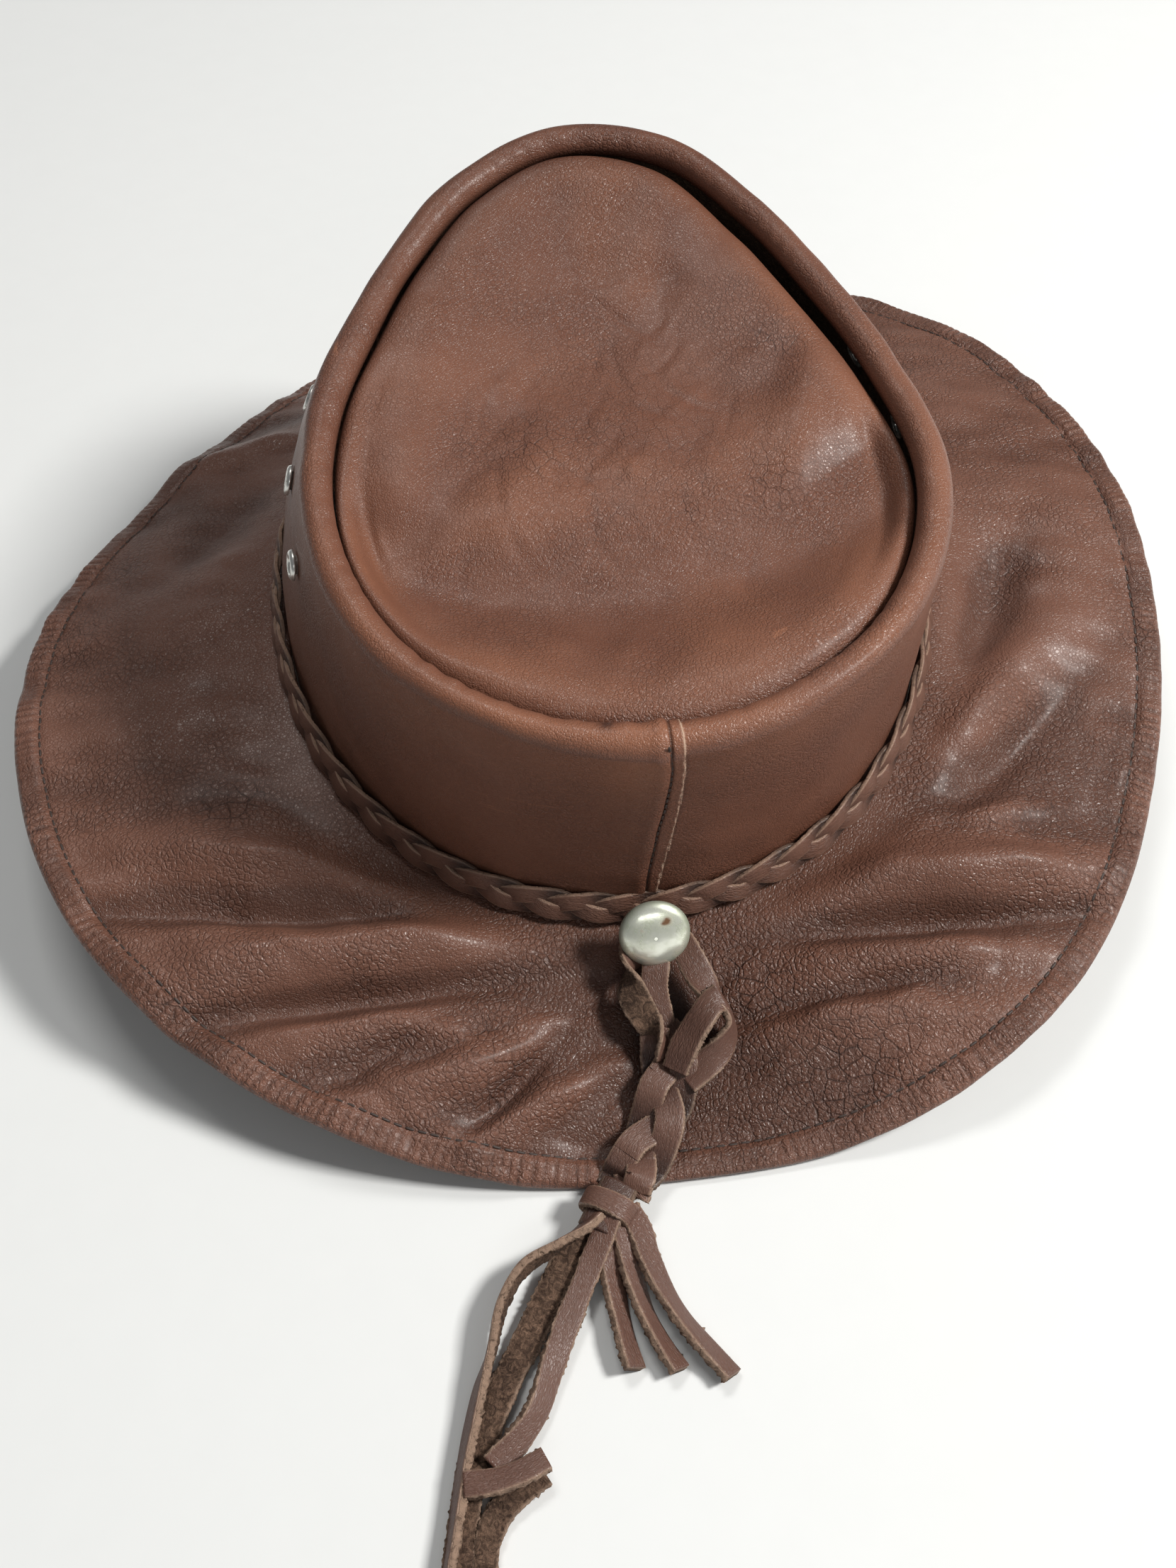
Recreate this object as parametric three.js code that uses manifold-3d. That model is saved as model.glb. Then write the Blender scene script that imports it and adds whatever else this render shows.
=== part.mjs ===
// A leather bush hat: a pinched crown with a rolled lip, a wavy brim, a braided band and a lace tassel.
// Millimetres, +Z up, standing on z = 0. The front looks towards -Y and the tassel lies at the back, +Y.
// Angles run around the crown from its left side (+X) over the back (+Y).

import * as THREE from 'three';
import { mergeVertices } from 'three/addons/utils/BufferGeometryUtils.js';
import Module from 'manifold-3d';

const wasm = await Module();
wasm.setup();

// Driving sizes
const headWidth = 168; // inside the crown's foot, side to side
const headLength = 199; // inside the crown's foot, front to back
const ovalPower = 2.15; // 2 is an ellipse, a higher power is squarer
const leather = 2; // thickness of every leather sheet
const gap = 0.3; // clearance between two pieces that touch
const footLift = 28; // mean height of the crown's foot above the floor
const footSaddle = 7.5; // how far the foot rises at the sides and sinks at front and back
const crownHeight = 97; // foot to lip at the front, where the crown is highest
const crownFullness = 1.6; // 1 is a straight wall, more keeps the wall upright low down
const lipRadius = 4.4; // the rolled lip around the crown's tip
const lipProud = 1; // the lip stands this far out from the wall below it
const tipDrop = 3; // the tip is sewn this far below the lip's centre
const tipTuck = 0.15; // the tip's edge reaches this far under the lip's round
const pillowHeight = 6; // the tip's padded rim above its seam, at the back
const dentDepth = 9; // the dent across the tip
const dentPlace = 60; // the dent's middle, behind the crown's axis
const dentWidth = 20; // half its width
const dentBend = 1.1; // how strongly it curves forward towards the sides
const brimReach = 70; // crown to brim edge, seen from above
const hemWidth = 8; // the turned edge of the brim
const hemThickness = 3.4;
const foldHeight = 8; // the highest fold of the brim
const bandHeight = 10;
const bandThickness = 4;
const bandStandOff = 0.6; // clearance between the band and the crown's wall
const braidCrossings = 48; // strand crossings around the band
const braidRelief = 0.7; // how far the strands stand proud of the band
const buttonRadius = 8.7;
const buttonDome = 3.6;
const buttonTilt = THREE.MathUtils.degToRad(30);
const shankRadius = 1.5;
const shankLength = 7.4;
const eyeletRadius = 3.7;
const eyeletBore = 1.8;
const eyeletFlange = 0.8; // thickness of its two rings
const eyeletWall = 0.6; // thickness of the tube between them
const eyeletBevel = 0.4;
const tailWidth = 13; // the three-strand braid that lies over the brim
const tailThickness = 4.5;
const laceWidth = 5.6;
const laceThickness = 1.8;
const knotLength = 9;
const knotThickness = 7;
const laceReach = 92; // knot to the end of the longest lace

// Shares of a length or a width, and one angle
const tipMiddle = 0.70; // height of the tip's middle, of crownHeight
const foldStart = 0.08; // where the brim's folds begin, of its reach, and where they have their full height
const foldFull = 0.3;
const braidWaist = 0.07; // the tail's braid narrows between two crossings, of its half width
const knotTaper = 0.3; // the knot narrows towards its ends, of its width and thickness
const lipMargin = 0.18; // radians left free between the lip's round and each face of the wall
const laceFall = 0.13; // the laces reach the floor here, of laceReach
const edgeBlunt = 0.2; // the brim's outermost edge keeps this much of hemThickness, squared

// How finely the surfaces are cut
const roundSteps = 52;
const brimSteps = 78;
const bandSteps = 96;
const wallSteps = 6;
const sheetSteps = 6;
const lipSteps = 8;
const tipSteps = 7;
const ringSides = 10;
const buttonSides = 20;
const braidSteps = 20;
const plainSteps = 5; // the tail is one narrow strap up to this step of braidSteps
const strapSteps = 14;
const laceSteps = 3;

// The lip every 22.5 degrees: out is a share of the foot's oval, up a share of crownHeight above the foot,
// and sink is how far the tip falls away from the lip, as a share of tipDrop.
const lipRows = [
  { out: 0.78, up: 0.67, sink: 1 },
  { out: 0.86, up: 0.65, sink: 1 },
  { out: 0.93, up: 0.67, sink: 1 },
  { out: 0.98, up: 0.70, sink: 1 },
  { out: 1.02, up: 0.71, sink: 1 },
  { out: 1.02, up: 0.70, sink: 1 },
  { out: 1.01, up: 0.67, sink: 1 },
  { out: 0.96, up: 0.66, sink: 1.3 },
  { out: 0.85, up: 0.67, sink: 2.2 },
  { out: 0.775, up: 0.74, sink: 3.2 },
  { out: 0.78, up: 0.85, sink: 3.2 },
  { out: 0.84, up: 0.96, sink: 1.8 },
  { out: 0.84, up: 1.00, sink: 1 },
  { out: 0.76, up: 0.95, sink: 1 },
  { out: 0.70, up: 0.84, sink: 1.2 },
  { out: 0.70, up: 0.74, sink: 1.2 },
];

// The brim's edge every 30 degrees: reach is a share of brimReach, lift a share of footLift.
const edgeRows = [
  { reach: 1.06, lift: 0.86 },
  { reach: 1.10, lift: 0.96 },
  { reach: 1.00, lift: 0.50 },
  { reach: 0.91, lift: -0.10 },
  { reach: 1.00, lift: 0.52 },
  { reach: 0.96, lift: 0.64 },
  { reach: 0.99, lift: 1.18 },
  { reach: 1.03, lift: 1.04 },
  { reach: 1.02, lift: 0.57 },
  { reach: 1.00, lift: -0.08 },
  { reach: 0.89, lift: 0.02 },
  { reach: 0.86, lift: 0.40 },
];

// Folds of the brim, seen from above: middle, half length and half width are shares of headLength,
// turn is in degrees from +X, and rise is a share of foldHeight, less than 0 for a valley.
const foldRows = [
  { x: 0.37, y: 0.54, turn: 0, long: 0.22, wide: 0.05, rise: 0.9 },
  { x: 0.33, y: 0.61, turn: 0, long: 0.22, wide: 0.04, rise: -0.5 },
  { x: 0.46, y: 0.41, turn: -17, long: 0.18, wide: 0.04, rise: 0.5 },
  { x: 0.50, y: 0.47, turn: -15, long: 0.18, wide: 0.04, rise: -0.5 },
  { x: 0.26, y: 0.69, turn: 10, long: 0.15, wide: 0.04, rise: 0.4 },
  { x: -0.40, y: 0.52, turn: 0, long: 0.20, wide: 0.045, rise: 0.7 },
  { x: -0.35, y: 0.58, turn: 0, long: 0.18, wide: 0.04, rise: -0.5 },
  { x: -0.31, y: 0.65, turn: -8, long: 0.12, wide: 0.045, rise: 0.4 },
  { x: -0.47, y: 0.27, turn: 42, long: 0.16, wide: 0.05, rise: 0.5 },
  { x: -0.52, y: 0.36, turn: 40, long: 0.16, wide: 0.05, rise: -0.4 },
  { x: -0.54, y: 0.10, turn: 61, long: 0.14, wide: 0.06, rise: -0.6 },
  { x: 0.50, y: -0.46, turn: 13, long: 0.12, wide: 0.04, rise: 0.4 },
  { x: 0.55, y: -0.22, turn: 55, long: 0.11, wide: 0.05, rise: -0.4 },
];

// The eyelets of one side: along is a share of headLength from the crown's middle towards the back,
// up a share of the wall's own height there.
const eyeletRows = [
  { along: 0.142, up: 0.75 },
  { along: 0.006, up: 0.75 },
  { along: -0.130, up: 0.75 },
];

// The tail on the brim: across is a share of tailWidth, along a share of brimReach from the foot.
const braidRows = [
  { across: 0.42, along: 0.10 },
  { across: 0.22, along: 0.29 },
  { across: -0.03, along: 0.43 },
  { across: -0.02, along: 0.55 },
  { across: 0.29, along: 0.71 },
  { across: 0.70, along: 0.85 },
  { across: 1.06, along: 0.925 },
];
const strapRows = [
  { across: -0.55, along: 0.10 },
  { across: -0.85, along: 0.27 },
  { across: -1.27, along: 0.37 },
  { across: -1.06, along: 0.47 },
  { across: -0.59, along: 0.58 },
  { across: -0.08, along: 0.73 },
  { across: 0.51, along: 0.88 },
];

// Laces on the floor, from the knot: shares of laceReach across (+X) and along (+Y).
// onEdge laces stand on their narrow side.
const laceRows = [
  { onEdge: false, across: [0, 0, 0, -0.01, -0.02], along: [0, 0.10, 0.21, 0.30, 0.39] },
  { onEdge: false, across: [0, -0.04, -0.05, -0.085, -0.12], along: [0, 0.12, 0.25, 0.34, 0.40] },
  { onEdge: false, across: [0, -0.09, -0.14, -0.195, -0.25], along: [0, 0.12, 0.26, 0.34, 0.42] },
  { onEdge: true, across: [0, 0.11, 0.26, 0.335, 0.40, 0.445, 0.48], along: [0, 0.065, 0.175, 0.36, 0.575, 0.79, 1] },
  { onEdge: false, across: [0, 0.12, 0.24, 0.36, 0.41, 0.46], along: [0, 0.14, 0.305, 0.51, 0.67, 0.97] },
  { onEdge: false, across: [0, 0.085, 0.14, 0.185, 0.26, 0.315], along: [0, 0.14, 0.25, 0.38, 0.52, 0.565] },
  { onEdge: false, across: [0.38, 0.30, 0.22], along: [0.61, 0.62, 0.61] },
];

// The button's face from its back edge to its middle: out is a share of buttonRadius, up of buttonDome.
const domeRows = [
  { out: 0.91, up: 0 },
  { out: 1.00, up: 0.17 },
  { out: 0.94, up: 0.36 },
  { out: 0.80, up: 0.60 },
  { out: 0.50, up: 0.88 },
  { out: 0, up: 1 },
];

const FULL_TURN = 2 * Math.PI;
const BACK = Math.PI / 2;
const halfWidth = headWidth / 2 + leather;
const halfLength = headLength / 2 + leather;

// A smooth closed curve through one column of a table.
function around(rows, column, angle) {
  const count = rows.length;
  const place = ((angle / FULL_TURN) % 1 + 1) % 1 * count;
  const first = Math.floor(place);
  const t = place - first;
  const [a, b, c, d] = [-1, 0, 1, 2].map((step) => rows[(first + step + count) % count][column]);
  return 0.5 * (2 * b + (c - a) * t + (2 * a - 5 * b + 4 * c - d) * t * t + (3 * b - a - 3 * c + d) * t * t * t);
}

function smooth(from, to, value) {
  return THREE.MathUtils.smoothstep(value, from, to);
}

// The oval of the crown's foot, on the wall's outside, and its outward direction.
function oval(angle, grow = 0) {
  const c = Math.cos(angle);
  const s = Math.sin(angle);
  const r = (Math.abs(c) ** ovalPower + Math.abs(s) ** ovalPower) ** (-1 / ovalPower);
  const out = new THREE.Vector2(c * halfLength, s * halfWidth).normalize();
  return { x: halfWidth * r * c + grow * out.x, y: halfLength * r * s + grow * out.y, out };
}

function footHeight(angle) {
  return footLift + footSaddle * Math.cos(2 * angle);
}

// The centre line of the rolled lip, and its outward direction from two neighbouring points.
function lipPoint(angle) {
  const foot = oval(angle);
  const out = around(lipRows, 'out', angle);
  const up = around(lipRows, 'up', angle);
  return new THREE.Vector3(foot.x * out, foot.y * out, footHeight(angle) + crownHeight * up);
}

function lipOut(angle) {
  const step = FULL_TURN / roundSteps;
  const along = lipPoint(angle + step).sub(lipPoint(angle - step));
  return new THREE.Vector2(along.y, -along.x).normalize();
}

// The wall's outer face at a share of the way up from the foot to the lip.
function wallPoint(angle, share) {
  const foot = oval(angle);
  const lip = lipPoint(angle);
  const lean = share ** crownFullness;
  const out = foot.out.clone().lerp(lipOut(angle), share).normalize();
  const reach = lipRadius - lipProud;
  const top = { x: lip.x + out.x * reach, y: lip.y + out.y * reach, z: lip.z - lipRadius / 2 };
  const x = THREE.MathUtils.lerp(foot.x, top.x, lean);
  const y = THREE.MathUtils.lerp(foot.y, top.y, lean);
  const z = THREE.MathUtils.lerp(footHeight(angle), top.z, share);
  return { point: new THREE.Vector3(x, y, z), out };
}

// The height of the brim's middle surface over a point at a share of the reach.
function brimPoint(angle, share) {
  const foot = oval(angle, gap);
  const reach = brimReach * around(edgeRows, 'reach', angle) * share;
  const x = foot.x + foot.out.x * reach;
  const y = foot.y + foot.out.y * reach;
  const edge = footLift * around(edgeRows, 'lift', angle);
  const z = THREE.MathUtils.lerp(footHeight(angle), edge, share);
  return new THREE.Vector3(x, y, z + foldAt(x, y) * smooth(foldStart, foldFull, share));
}

function foldAt(x, y) {
  let rise = 0;
  for (const fold of foldRows) {
    const turn = THREE.MathUtils.degToRad(fold.turn);
    const dx = x / headLength - fold.x;
    const dy = y / headLength - fold.y;
    const along = (dx * Math.cos(turn) + dy * Math.sin(turn)) / fold.long;
    const across = (dy * Math.cos(turn) - dx * Math.sin(turn)) / fold.wide;
    rise += foldHeight * fold.rise * Math.exp(-along * along - across * across);
  }
  return rise;
}

// The brim's thickness at a share of the reach: a plain sheet, then the turned hem with a rounded edge.
function brimThickness(angle, share) {
  const fromEdge = brimReach * around(edgeRows, 'reach', angle) * (1 - share);
  const hem = 1 - smooth(hemWidth - leather, hemWidth, fromEdge);
  const round = Math.sqrt(Math.min(1, edgeBlunt + fromEdge / hemThickness));
  return (leather + (hemThickness - leather) * hem) * round;
}

// The brim's two faces. It lies flat on the floor wherever it would sink below it.
function brimFaces(angle, share) {
  const point = brimPoint(angle, share);
  const thickness = brimThickness(angle, share);
  const bottom = Math.max(0, point.z - thickness / 2);
  return { x: point.x, y: point.y, bottom, top: bottom + thickness };
}

// Geometry from rings of points. Neighbouring rings are joined; the rings are closed loops.
function ringsGeometry(rings, closed) {
  const positions = rings.flat().flatMap((p) => [p.x, p.y, p.z]);
  const size = rings[0].length;
  const index = [];
  const bands = closed ? rings.length : rings.length - 1;
  for (let ring = 0; ring < bands; ring += 1) {
    for (let k = 0; k < size; k += 1) {
      const a = ring * size + k;
      const b = ring * size + (k + 1) % size;
      const c = ((ring + 1) % rings.length) * size + (k + 1) % size;
      const d = ((ring + 1) % rings.length) * size + k;
      index.push(a, c, b, a, d, c);
    }
  }
  if (!closed) {
    addCap(positions, index, rings[0], 0, true);
    addCap(positions, index, rings[rings.length - 1], (rings.length - 1) * size, false);
  }
  const geometry = new THREE.BufferGeometry();
  geometry.setAttribute('position', new THREE.Float32BufferAttribute(positions, 3));
  geometry.setIndex(index);
  return geometry;
}

// A fan from the ring's middle closes an end.
function addCap(positions, index, ring, start, first) {
  const middle = ring.reduce((sum, p) => sum.add(p), new THREE.Vector3()).divideScalar(ring.length);
  const centre = positions.length / 3;
  positions.push(middle.x, middle.y, middle.z);
  for (let k = 0; k < ring.length; k += 1) {
    const a = start + k;
    const b = start + (k + 1) % ring.length;
    if (first) index.push(centre, a, b);
    else index.push(centre, b, a);
  }
}

function angles(count) {
  return Array.from({ length: count }, (_, k) => (k / count) * FULL_TURN);
}

// The crown's wall: up the outer face, around the lip, and down the inner face.
function crownSideGeometry() {
  const rings = angles(roundSteps).map((angle) => {
    const outer = [];
    const inner = [];
    for (let k = 0; k <= wallSteps; k += 1) {
      const { point, out } = wallPoint(angle, k / wallSteps);
      outer.push(point);
      inner.unshift(new THREE.Vector3(point.x - out.x * leather, point.y - out.y * leather, point.z));
    }
    const hem = new THREE.Vector3(0, 0, -leather);
    outer.unshift(outer[0].clone().add(hem));
    inner.push(inner[inner.length - 1].clone().add(hem));
    return [...outer, ...lipArc(angle), ...inner.slice(1)];
  });
  return ringsGeometry(rings, true);
}

// The lip's round, from just above the wall's outer face over the top to just above its inner face.
function lipArc(angle) {
  const lip = lipPoint(angle);
  const out = lipOut(angle);
  const start = lipMargin - Math.asin(0.5);
  const end = Math.PI + Math.acos((lipProud + leather - lipRadius) / lipRadius) - lipMargin;
  return Array.from({ length: lipSteps }, (_, k) => {
    const turn = THREE.MathUtils.lerp(start, end, k / (lipSteps - 1));
    const r = lipRadius * Math.cos(turn);
    return new THREE.Vector3(lip.x + out.x * r, lip.y + out.y * r, lip.z + lipRadius * Math.sin(turn));
  });
}

// The tip's middle surface, at a share of the way from its middle to its seam.
function tipPoint(angle, share) {
  const lip = lipPoint(angle);
  const out = lipOut(angle);
  const inset = lipRadius - tipTuck + gap;
  const seam = new THREE.Vector2(lip.x - out.x * inset, lip.y - out.y * inset);
  const x = seam.x * share;
  const y = seam.y * share;
  const drop = tipDrop * around(lipRows, 'sink', angle);
  const middleHeight = footLift + crownHeight * tipMiddle;
  const fromSeam = (1 - share) * seam.length();
  const shoulder = pillowHeight + drop - tipDrop;
  const pillow = shoulder * (1 - Math.exp(-fromSeam / lipRadius)) * share * share;
  const z = THREE.MathUtils.lerp(middleHeight, lip.z - drop, share * share) + pillow;
  return new THREE.Vector3(x, y, z - dentAt(x, y) * smooth(0, 2 * lipRadius, fromSeam));
}

// The dent runs across the tip behind its middle, curving forward to both sides.
function dentAt(x, y) {
  const line = dentPlace - dentBend * x * x / headLength;
  const across = (y - line) / dentWidth;
  return dentDepth * Math.exp(-across * across);
}

function crownTopGeometry() {
  const upper = [];
  const lower = [];
  for (let k = 1; k <= tipSteps; k += 1) {
    const share = Math.sin((k / tipSteps) * BACK);
    const ring = angles(roundSteps).map((angle) => tipPoint(angle, share));
    upper.push(ring.map((p) => new THREE.Vector3(p.x, p.y, p.z + leather / 2)));
    lower.unshift(ring.map((p) => new THREE.Vector3(p.x, p.y, p.z - leather / 2)));
  }
  return ringsGeometry([...upper, ...lower], false);
}

function brimGeometry() {
  const hemShare = 1 - hemWidth / brimReach;
  const shares = Array.from({ length: sheetSteps + 1 }, (_, k) => (hemShare * k) / sheetSteps);
  shares.push(hemShare + leather / brimReach, 1 - hemThickness / brimReach, 1);
  const rings = angles(brimSteps).map((angle) => {
    const faces = shares.map((share) => brimFaces(angle, share));
    const bottom = faces.map((p) => new THREE.Vector3(p.x, p.y, p.bottom));
    const top = faces.map((p) => new THREE.Vector3(p.x, p.y, p.top)).reverse();
    return [...bottom, ...top];
  });
  return ringsGeometry(rings, true);
}

// The band is a loop whose strands stand proud in turn, high and low around the braid's crossings.
function bandGeometry() {
  const rings = angles(bandSteps).map((angle) => {
    const wave = (angle / FULL_TURN) * braidCrossings * Math.PI;
    const foot = footHeight(angle) + leather / 2 + gap + bandLift(angle);
    const at = (depth, height) => {
      const p = oval(angle, bandStandOff + depth);
      return new THREE.Vector3(p.x, p.y, foot + height);
    };
    const proud = (shift) => bandThickness - braidRelief + braidRelief * Math.cos(wave + shift);
    const middle = bandHeight / 2;
    return [
      at(0, braidRelief),
      at(bandThickness / 2, 0),
      at(proud(0), bandHeight * 0.25),
      at(proud(Math.PI), bandHeight * 0.5),
      at(proud(0), bandHeight * 0.75),
      at(bandThickness / 2, bandHeight),
      at(0, bandHeight - braidRelief),
      at(0, middle),
    ];
  });
  return ringsGeometry(rings, true);
}

// The band clears the brim where the brim rises away from the crown.
function bandLift(angle) {
  const reach = brimReach * around(edgeRows, 'reach', angle);
  const outer = brimFaces(angle, (bandStandOff + bandThickness) / reach).top;
  return Math.max(0, outer - footHeight(angle) - leather / 2);
}

// A ring eyelet around the wall: two flanges and the tube between them. The inner one is a little smaller.
function eyeletGeometry() {
  const inside = -leather - gap;
  const tube = eyeletBore + eyeletWall;
  const profile = [
    [eyeletBore, inside - eyeletFlange],
    [eyeletRadius - eyeletBevel, inside - eyeletFlange],
    [eyeletRadius - eyeletBevel, inside],
    [tube, inside],
    [tube, gap],
    [eyeletRadius, gap],
    [eyeletRadius - eyeletBevel, gap + eyeletFlange],
    [eyeletBore, gap + eyeletFlange],
    [eyeletBore, inside - eyeletFlange],
  ].map(([r, z]) => new THREE.Vector2(r, z));
  const geometry = new THREE.LatheGeometry(profile, ringSides);
  return geometry.rotateX(BACK);
}

// Where an eyelet sits on the wall, and the turn that points its +Z out of the wall.
function eyeletPlace(row, side) {
  const wantedY = row.along * headLength;
  let low = -BACK;
  let high = BACK;
  for (let k = 0; k < 40; k += 1) {
    const middle = (low + high) / 2;
    const y = wallPoint(side > 0 ? middle : Math.PI - middle, row.up).point.y;
    if (y < wantedY) low = middle;
    else high = middle;
  }
  const turn = side > 0 ? low : Math.PI - low;
  const step = 0.02;
  const point = wallPoint(turn, row.up).point;
  const alongWall = wallPoint(turn + step, row.up).point.sub(wallPoint(turn - step, row.up).point);
  const upWall = wallPoint(turn, row.up + step).point.sub(wallPoint(turn, row.up - step).point);
  const normal = alongWall.cross(upWall).normalize();
  return { point, turn: new THREE.Quaternion().setFromUnitVectors(new THREE.Vector3(0, 0, 1), normal) };
}

function toSolid(geometry) {
  const bare = geometry.clone();
  bare.deleteAttribute('normal');
  bare.deleteAttribute('uv');
  const merged = mergeVertices(bare, 1e-4);
  const mesh = new wasm.Mesh({
    numProp: 3,
    vertProperties: new Float32Array(merged.attributes.position.array),
    triVerts: new Uint32Array(merged.index.array),
  });
  return new wasm.Manifold(mesh);
}

function toGeometry(solid) {
  const mesh = solid.getMesh();
  const geometry = new THREE.BufferGeometry();
  geometry.setAttribute('position', new THREE.BufferAttribute(new Float32Array(mesh.vertProperties), 3));
  geometry.setIndex(new THREE.BufferAttribute(new Uint32Array(mesh.triVerts), 1));
  return geometry;
}

const roundedCorners = [[1, 0.5], [0.8, 1], [-0.8, 1], [-1, 0.5], [-1, -0.5], [-0.8, -1], [0.8, -1], [1, -0.5]];
const squareCorners = [[1, 1], [-1, 1], [-1, -1], [1, -1]];

// A strip of leather carried along a route. Each station gives a place, a half width and a half thickness;
// upright strips stand on their narrow side.
function stripGeometry(stations, upright, corners = roundedCorners) {
  const rings = stations.map((station, k) => {
    const before = stations[Math.max(0, k - 1)].place;
    const after = stations[Math.min(stations.length - 1, k + 1)].place;
    const along = after.clone().sub(before).normalize();
    const side = new THREE.Vector3(along.y, -along.x, 0).normalize();
    const up = new THREE.Vector3(0, 0, 1);
    const across = upright ? up : side;
    const thick = upright ? side.clone().negate() : up;
    return corners.map(([w, t]) => station.place.clone()
      .addScaledVector(across, w * station.halfWidth)
      .addScaledVector(thick, t * station.halfThickness));
  });
  return ringsGeometry(rings, false);
}

function stationsAlong(points, count, halfWide, halfThick) {
  const curve = new THREE.CatmullRomCurve3(points, false, 'centripetal');
  return curve.getSpacedPoints(count).map((place) => ({ place, halfWidth: halfWide, halfThickness: halfThick }));
}

// The highest point of a piece at a place seen from above, or the floor beside it.
function topOf(piece, x, y) {
  const ray = new THREE.Raycaster(new THREE.Vector3(x, y, 2 * crownHeight), new THREE.Vector3(0, 0, -1));
  const hits = ray.intersectObject(piece);
  return hits.length > 0 ? hits[0].point.z : 0;
}

function tailPlace({ across, along }) {
  return new THREE.Vector3(across * tailWidth, halfLength + along * brimReach, 0);
}

// Rests a strip on the brim, clear of the highest point within its width.
function settle({ place, halfWidth: reach, halfThickness }, support) {
  const under = angles(8).map((turn) => [place.x + reach * Math.cos(turn), place.y + reach * Math.sin(turn)]);
  under.push([place.x, place.y]);
  place.z = Math.max(...under.map(([x, y]) => topOf(support, x, y))) + gap + halfThickness;
}

// The band's two ends: one turns into the main braid, the other runs beside it as a plain strap.
function tailGeometry(support) {
  const braid = stationsAlong(braidRows.map(tailPlace), braidSteps, tailWidth / 2, tailThickness / 2);
  braid.forEach((station, k) => {
    const waist = 1 - braidWaist + braidWaist * Math.cos(k * Math.PI);
    station.halfWidth *= k < plainSteps ? laceWidth / tailWidth : waist;
    settle(station, support);
  });
  const strap = stationsAlong(strapRows.map(tailPlace), strapSteps, laceWidth / 2, laceThickness / 2);
  strap.forEach((station) => settle(station, support));
  return toGeometry(toSolid(stripGeometry(braid, false)).add(toSolid(stripGeometry(strap, false))));
}

// The knot's head follows on from the end of the tail's braid, over the brim's edge.
function knotPlace() {
  const [before, last] = braidRows.slice(-2).map(tailPlace);
  const along = last.clone().sub(before).normalize();
  const middle = last.addScaledVector(along, gap + knotLength / 2);
  middle.z = hemThickness + gap + knotThickness / 2;
  return { middle, along };
}

// The knot is a short wrapped head, and the laces leave it, drop to the floor and spread.
function tasselGeometry() {
  const { middle: knot, along } = knotPlace();
  const ends = [-1, -0.8, -0.3, 0.3, 0.8, 1].map((t) => ({
    place: knot.clone().addScaledVector(along, (t * knotLength) / 2),
    halfWidth: (tailWidth / 2) * (1 - knotTaper * t * t),
    halfThickness: (knotThickness / 2) * (1 - knotTaper * t * t),
  }));
  let body = toSolid(stripGeometry(ends, false));
  for (const row of laceRows) body = body.add(toSolid(laceGeometry(row, knot)));
  return toGeometry(body);
}

function laceGeometry(row, knot) {
  const floor = (row.onEdge ? laceWidth : laceThickness) / 2;
  const points = row.across.map((across, k) => {
    const fall = 1 - smooth(0, laceFall, row.along[k]);
    const z = floor + (knot.z - floor) * fall;
    return new THREE.Vector3(knot.x + across * laceReach, knot.y + row.along[k] * laceReach, z);
  });
  const steps = laceSteps * (points.length - 1);
  const stations = stationsAlong(points, steps, laceWidth / 2, laceThickness / 2);
  for (const station of stations) station.place.z = Math.max(floor, station.place.z);
  return stripGeometry(stations, row.onEdge, squareCorners);
}

// A domed button on a short shank, which reaches back to the band.
function buttonGeometry() {
  const shank = [[0, -shankLength], [shankRadius, -shankLength], [shankRadius, 0]];
  const dome = domeRows.map(({ out, up }) => [out * buttonRadius, up * buttonDome]);
  const profile = [...shank, ...dome].map(([r, z]) => new THREE.Vector2(r, z));
  return new THREE.LatheGeometry(profile, buttonSides).rotateX(BACK);
}

function finish(colour, roughness, metalness = 0) {
  return new THREE.MeshStandardMaterial({ color: colour, roughness, metalness, side: THREE.FrontSide });
}

const brownLeather = 0x6e4033;
const darkLeather = 0x4a3026;
const silver = 0xb9b6ad;
const tarnish = 0x7e7f72;

const hat = new THREE.Group();

function addPiece(name, geometry, material) {
  const mesh = new THREE.Mesh(geometry, material);
  mesh.name = name;
  hat.add(mesh);
  return mesh;
}

// The wall, with a hole for each eyelet
let wall = toSolid(crownSideGeometry());
for (const [side, label] of [[1, 'left'], [-1, 'right']]) {
  eyeletRows.forEach((row, k) => {
    const { point, turn } = eyeletPlace(row, side);
    const holeRadius = eyeletBore + eyeletWall + gap;
    const hole = new THREE.CylinderGeometry(holeRadius, holeRadius, 4 * leather, ringSides);
    hole.rotateX(BACK).applyQuaternion(turn).translate(point.x, point.y, point.z);
    wall = wall.subtract(toSolid(hole));
    const eyelet = addPiece(`eyelet_${label}_${k + 1}`, eyeletGeometry(), finish(silver, 0.35, 0.9));
    eyelet.position.copy(point);
    eyelet.quaternion.copy(turn);
  });
}
addPiece('crown_side', toGeometry(wall), finish(brownLeather, 0.5));
addPiece('crown_top', crownTopGeometry(), finish(brownLeather, 0.5));
const brim = addPiece('brim', brimGeometry(), finish(brownLeather, 0.5));
addPiece('hat_band', bandGeometry(), finish(darkLeather, 0.6));
addPiece('tail_braid', tailGeometry(brim), finish(darkLeather, 0.65));
addPiece('tassel', tasselGeometry(), finish(darkLeather, 0.65));

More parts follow.
